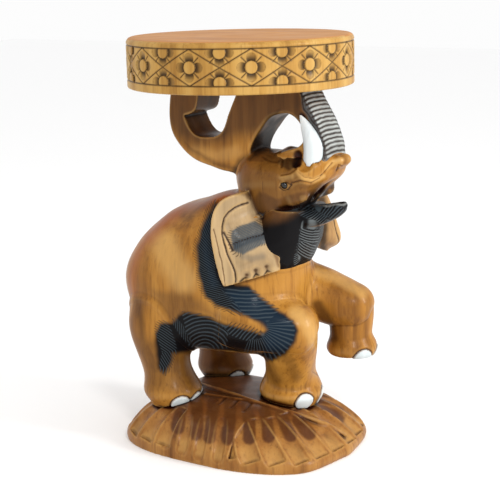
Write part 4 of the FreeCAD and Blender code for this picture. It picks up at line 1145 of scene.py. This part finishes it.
def makeBead(side, finish):
    low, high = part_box("eye_" + side)
    outward = -1 if side == "right" else 1
    radius = (high.x - low.x) / 2
    level = (low.y + radius) if outward < 0 else (high.y - radius)
    middle = Vector(((low.x + high.x) / 2, level, (low.z + high.z) / 2))
    bpy.ops.mesh.primitive_uv_sphere_add(segments=48, ring_count=24, radius=radius, location=middle)
    bead = bpy.context.object
    bead.name = "eye_%s_bead" % side
    # the bead's back runs out into its shank
    for vertex in bead.data.vertices:
        back = -vertex.co.y * outward
        spread = math.hypot(vertex.co.x, vertex.co.z)
        if back > radius * 0.9 or (back > radius * 0.55 and spread < beadLook["shank"]):
            keep = min(1, beadLook["shank"] / max(spread, 1e-6))
            vertex.co.y -= outward * beadLook["length"]
            vertex.co.x *= keep
            vertex.co.z *= keep
    for face in bead.data.polygons:
        face.use_smooth = True
    bead.data.materials.append(finish.material)
    settle(bead, {}, "eye_" + side)


tuskFinish = Finish("painted_tusk")
tuskStreaks = tuskFinish.noise((1, 1, 0.12), 60, 3)
tuskColour = tuskFinish.ramp(tuskStreaks, [(0.36, tuskLook["streak"]), (0.58, tuskLook["colour"])])
tuskFinish.dress({"Base Color": tuskColour, "Roughness": tuskLook["roughness"]})
beadFinish = Finish("black_bead")
beadFinish.dress({"Base Color": beadLook["colour"], "Roughness": beadLook["roughness"]})
for side in ("right", "left"):
    makeTusk(side, tuskFinish)
for side in ("right", "left"):
    makeBead(side, beadFinish)
print("tusks and eyes done")


# leaf: the CAD leaf and its flutes, with veins and stains drawn on the photo's frame
leafLook = {
    "front": 160.0,
    "half": 124.0,
    "rise": 66.0,
    "lean": 0.22,
    "outline": (
        (1.00, -0.06), (0.97, -0.32), (0.91, -0.65), (0.77, -0.84), (0.60, -0.95), (0.25, -1.05),
        (-0.25, -1.05), (-0.54, -1.00), (-0.74, -0.90), (-0.90, -0.70), (-0.96, -0.36), (-0.97, 0.00),
        (-0.95, 0.36), (-0.88, 0.68), (-0.72, 0.86), (-0.52, 0.95), (-0.25, 0.98), (0.25, 0.97),
        (0.58, 0.91), (0.77, 0.79), (0.90, 0.58), (0.97, 0.24),
    ),
    "levels": (
        (0.00, 1.00, 1.00), (0.22, 1.00, 1.00), (0.38, 0.94, 0.97), (0.55, 0.86, 0.91), (0.71, 0.76, 0.82),
        (0.84, 0.63, 0.69), (0.93, 0.47, 0.53), (0.98, 0.27, 0.31), (1.00, 0.07, 0.08),
    ),
    # here the CAD leaf carries a stray block and lacks a flute: between these x and below this y, in
    # millimetres, the plain dome is laid in instead and the gouges below cut its flutes afresh
    "afresh": ((-42.0, 52.0), -74.0),
    "gougeSize": (12, 4.6),          # radius and depth in millimetres
    "veinSize": (4, 1.2),
    "midribSize": (3.0, 1.6),
    "redUp": (40, 56),               # between these heights the red and brown stain set in
    "brownUp": (50, 64),
    "paleUp": (20, 34),              # and the worn lower flutes end
    "gouges": (
        ((171, 415), (164, 443)), ((188, 417), (181, 450)),
        ((205, 418), (198, 455)), ((222, 420), (217, 458)),
    ),
    "veins": (
        ((268, 404), (298, 391)), ((279, 407), (310, 395)), ((290, 411), (322, 400)),
        ((301, 414), (334, 406)), ((315, 419), (344, 413)), ((329, 425), (350, 422)),
        ((226, 398), (219, 404)), ((238, 400), (231, 407)), ((251, 403), (244, 411)),
    ),
    "midrib": (
        (206, 394), (225, 397), (245, 400), (268, 405), (290, 411), (312, 418), (330, 425), (345, 434),
    ),
    "scoops": (
        ((196, 404), (198, 420), (196, 434)), ((213, 402), (212, 420), (210, 438)),
        ((230, 402), (230, 420), (228, 439)), ((247, 405), (249, 422), (249, 438)),
        ((264, 409), (267, 424), (269, 437)), ((281, 414), (286, 427), (290, 435)),
        ((298, 420), (304, 429), (310, 434)), ((181, 405), (180, 418), (178, 428)),
    ),
    "floorFade": (8.0, 15.0),        # the plain border under the flutes
}


def leafSkin():
    outline = np.array(leafLook["outline"])
    steps = 220
    source = np.arange(len(outline) + 6) - 3
    padded = np.vstack([outline[-3:], outline, outline[:3]])
    wanted = np.linspace(0, len(outline), steps, endpoint=False)
    fine = np.stack([catmull(source, padded[:, axis], wanted) for axis in (0, 1)], axis=1)
    levels = np.array(leafLook["levels"])
    rows = []
    for place in np.linspace(0, len(levels) - 1, 40):
        at = np.array([place])
        up, longShare, wideShare = (catmull(np.arange(len(levels)), column, at)[0] for column in levels.T)
        x = (fine[:, 0] * longShare - leafLook["lean"] * (1 - longShare)) * leafLook["front"]
        y = fine[:, 1] * leafLook["half"] * wideShare
        rows.append(np.stack([x, y, np.full(steps, up * leafLook["rise"])], axis=1))
    points = np.vstack(rows + [rows[0].mean(0)[None], rows[-1].mean(0)[None]]) * mm
    index = np.arange(steps)
    after = (index + 1) % steps
    faces = []
    for low in range(0, (len(rows) - 1) * steps, steps):
        high = low + steps
        faces.append(np.stack([low + index, low + after, high + after], axis=1))
        faces.append(np.stack([low + index, high + after, high + index], axis=1))
    # closed by a fan over the floor and one over the top
    last = (len(rows) - 1) * steps
    faces.append(np.stack([after, index, np.full(steps, len(points) - 2)], axis=1))
    faces.append(np.stack([last + index, last + after, np.full(steps, len(points) - 1)], axis=1))
    return points.astype(np.float32), np.vstack(faces).astype(np.uint32)


def catmull(places, values, wanted):
    # smooth curve through evenly numbered values
    base = np.clip(np.floor(wanted).astype(int), int(places[0]), int(places[-1]) - 1)
    part = wanted - base
    spots = [np.clip(base + shift - int(places[0]), 0, len(values) - 1) for shift in (-1, 0, 1, 2)]
    a, b, c, d = (values[spot] for spot in spots)
    square = (2 * a - 5 * b + 4 * c - d) * part ** 2
    cube = (3 * b - a - 3 * c + d) * part ** 3
    return 0.5 * (2 * b + (c - a) * part + square + cube)


def drawnOn(tree, line, steps=9):
    # points and normals where a line of the photo meets the surface
    line = np.array(line, float)
    lengths = np.hypot(*np.diff(line, axis=0).T)
    at = np.concatenate([[0], np.cumsum(lengths)])
    found = []
    for share in np.linspace(0, at[-1], steps):
        spot = [np.interp(share, at, line[:, axis]) for axis in (0, 1)]
        hit, normal, index, distance = tree.ray_cast(Vector(viewPlace), Vector(photoRay(spot)))
        if hit is None:
            continue
        hit, normal = np.array(hit), np.array(normal)
        if normal @ (viewPlace - hit) < 0:
            normal = -normal
        found.append((hit, normal))
    return found


def gougeStroke(found, radius, depth, ends=(0.35, 1.0)):
    # a round gouge drawn along the found points, deepest at its lower end
    path = []
    for step, (hit, normal) in enumerate(found):
        share = step / max(len(found) - 1, 1)
        deep = depth * (ends[0] + (ends[1] - ends[0]) * math.sin(share * math.pi * 0.75))
        middle = hit / mm + normal * (radius - deep)
        path.append((*middle, radius))
    return path


def makeLeaf():
    low, counts = blockRoom("leaf_base")
    block = gridBlock(clay["leaf_base"], low, counts)
    for name in plugNodes:
        block = np.minimum(block, gridBlock(clay[name], low, counts) - pieceEnd["plugSink"] * cell)
    domePoints, domeFaces = leafSkin()
    tree = BVHTree.FromPolygons(domePoints.tolist(), domeFaces.tolist())
    dome = gridBlock(clayGrid(domePoints, domeFaces), low, counts)
    x = (np.arange(counts[0]) + low[0])[:, None, None] * cell / mm
    y = (np.arange(counts[1]) + low[1])[None, :, None] * cell / mm
    (start, end), border = leafLook["afresh"]
    here = np.broadcast_to((x > start) & (x < end) & (y < border), block.shape)
    block = np.where(here, dome, block)
    strokes = []
    for line in leafLook["gouges"]:
        strokes.append(("cut", 1.0, gougeStroke(drawnOn(tree, line), *leafLook["gougeSize"])))
    for line in leafLook["veins"]:
        strokes.append(("cut", 1.5, gougeStroke(drawnOn(tree, line), *leafLook["veinSize"], (1.0, 0.6))))
    radius, sunk = leafLook["midribSize"]
    midrib = drawnOn(tree, leafLook["midrib"], 24)
    strokes.append(("add", 2.5, [(*(hit / mm - normal * sunk), radius) for hit, normal in midrib]))
    block = shapeClay(block, low, strokes)
    points, faces = biggestPart(*clayToMesh(block, low))
    normals = normalsOf(points, faces)
    around = block.copy()
    for name in clayNodes:
        around = np.minimum(around, gridBlock(clay[name], low, counts))
    up = points[:, 2] / mm
    marks = {kind: np.zeros(len(points)) for kind in markNames}
    cloud = cloudNoise(points, 22 * mm, 3) + 0.5 * cloudNoise(points, 9 * mm, 4)
    channel = creaseShadeAndWear(points, faces, 14)
    marks["red"] = smooth(up + 4 * cloud, *leafLook["redUp"])
    upper = 0.75 * smooth(up + 5 * cloud, *leafLook["brownUp"])
    marks["brown"] = upper * smooth(channel + 0.25 * cloud, -0.35, 0.4)
    # dark rounded tongues between the dome's top and the flutes
    for side in (1, farSide):
        spots = toPhoto(points * side) + 0.8 * cloud[:, None]
        seen = facingView(points * side, normals * side)
        for line in leafLook["scoops"]:
            tongue = 1 - smooth(alongLine(spots, line)[0], 4.5, 8.0)
            raiseMark(marks, "red", tongue * seen)
            raiseMark(marks, "brown", 0.5 * tongue * seen)
    lower = (1 - smooth(up + 4 * cloud, *leafLook["paleUp"])) * smooth(up, *leafLook["floorFade"])
    marks["pale"] = 0.7 * lower * smooth(channel, -0.2, 0.5)
    marks["shade"] = shadeOf(points, normals, around, low) * smooth(up, 4, 14)
    facets = cloudNoise(points, 16 * mm, 7) * 0.3
    points = points + normals * (facets * mm * smooth(up, 1, 6))[:, None]
    marks["hollow"] = creaseShadeAndWear(points, faces)
    thing = makeMesh("leaf_carved", points, faces)
    settle(thing, marks, "leaf_base")
    print("leaf faces", len(faces))
    return thing


# leaf wood: its painted shade in the creases is lighter
leafWood = dict(
    woodLook, creaseShade=0.4,
    light=(0.42, 0.205, 0.052), middle=(0.28, 0.115, 0.024), deep=(0.095, 0.030, 0.007),
    red=(0.125, 0.034, 0.008), pale=(0.58, 0.33, 0.095), brown=(0.040, 0.014, 0.005))
makeLeaf().data.materials.append(carvedFinish("leaf_finish", leafWood))
print("leaf done")


# hidden dowels keep their CAD shapes
dowelFinish = carvedFinish("dowel_finish", dict(woodLook, coat=0.0, roughness=0.6), marks=False)
for name in plugNodes:
    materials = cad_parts[name].data.materials
    materials.clear()
    materials.append(dowelFinish)


studioLook = {
    "floor": (0.97, 0.97, 0.97),
    "size": 14,
    "sky": (1.0, 1.0, 1.0),
    "skyPower": 0.98,
    # place, aim, size, power, colour
    "lights": {
        "key": ((1.7, -1.5, 1.7), (0, 0, 0.30), (0.4, 0.4), 20, (1, 0.98, 0.95)),
        "side": ((2.1, 0.3, 1.1), (0, 0, 0.25), (0.4, 0.9), 26, (1, 1, 1)),
    },
}


def areaLight(name, place, aim, size, power, colour):
    data = bpy.data.lights.new(name, "AREA")
    data.shape = "RECTANGLE"
    data.size, data.size_y = size
    data.energy = power
    data.color = colour
    lamp = bpy.data.objects.new(name, data)
    bpy.context.scene.collection.objects.link(lamp)
    lamp.location = place
    lamp.rotation_euler = (Vector(aim) - Vector(place)).to_track_quat("-Z", "Y").to_euler()


def makeStudio():
    bpy.ops.mesh.primitive_plane_add(size=studioLook["size"], location=(0, 0, 0))
    floor = bpy.context.object
    floor.name = "studio_floor"
    paper = Finish("studio_paper")
    paper.dress({"Base Color": studioLook["floor"], "Roughness": 0.85})
    floor.data.materials.append(paper.material)
    world = bpy.data.worlds.new("studio_air")
    world.use_nodes = True
    sky = world.node_tree.nodes["Background"].inputs
    sky["Color"].default_value = (*studioLook["sky"], 1)
    sky["Strength"].default_value = studioLook["skyPower"]
    bpy.context.scene.world = world
    for name, lamp in studioLook["lights"].items():
        areaLight(name, *lamp)


def makeCamera():
    data = bpy.data.cameras.new("photo_camera")
    data.lens = data.sensor_width * photoView["focal"] / photoView["frameSize"]
    half = photoView["frameSize"] / 2
    data.shift_x = (half - photoView["middle"][0]) / photoView["frameSize"]
    data.shift_y = (photoView["middle"][1] - half) / photoView["frameSize"]
    camera = bpy.data.objects.new("photo_camera", data)
    bpy.context.scene.collection.objects.link(camera)
    axes = Matrix((viewRight, viewTop, -viewAhead)).transposed().to_4x4()
    axes.translation = Vector(viewPlace)
    camera.matrix_world = axes
    bpy.context.scene.camera = camera


makeStudio()
makeCamera()
bpy.context.scene.view_settings.view_transform = "Standard"
print("scene ready")
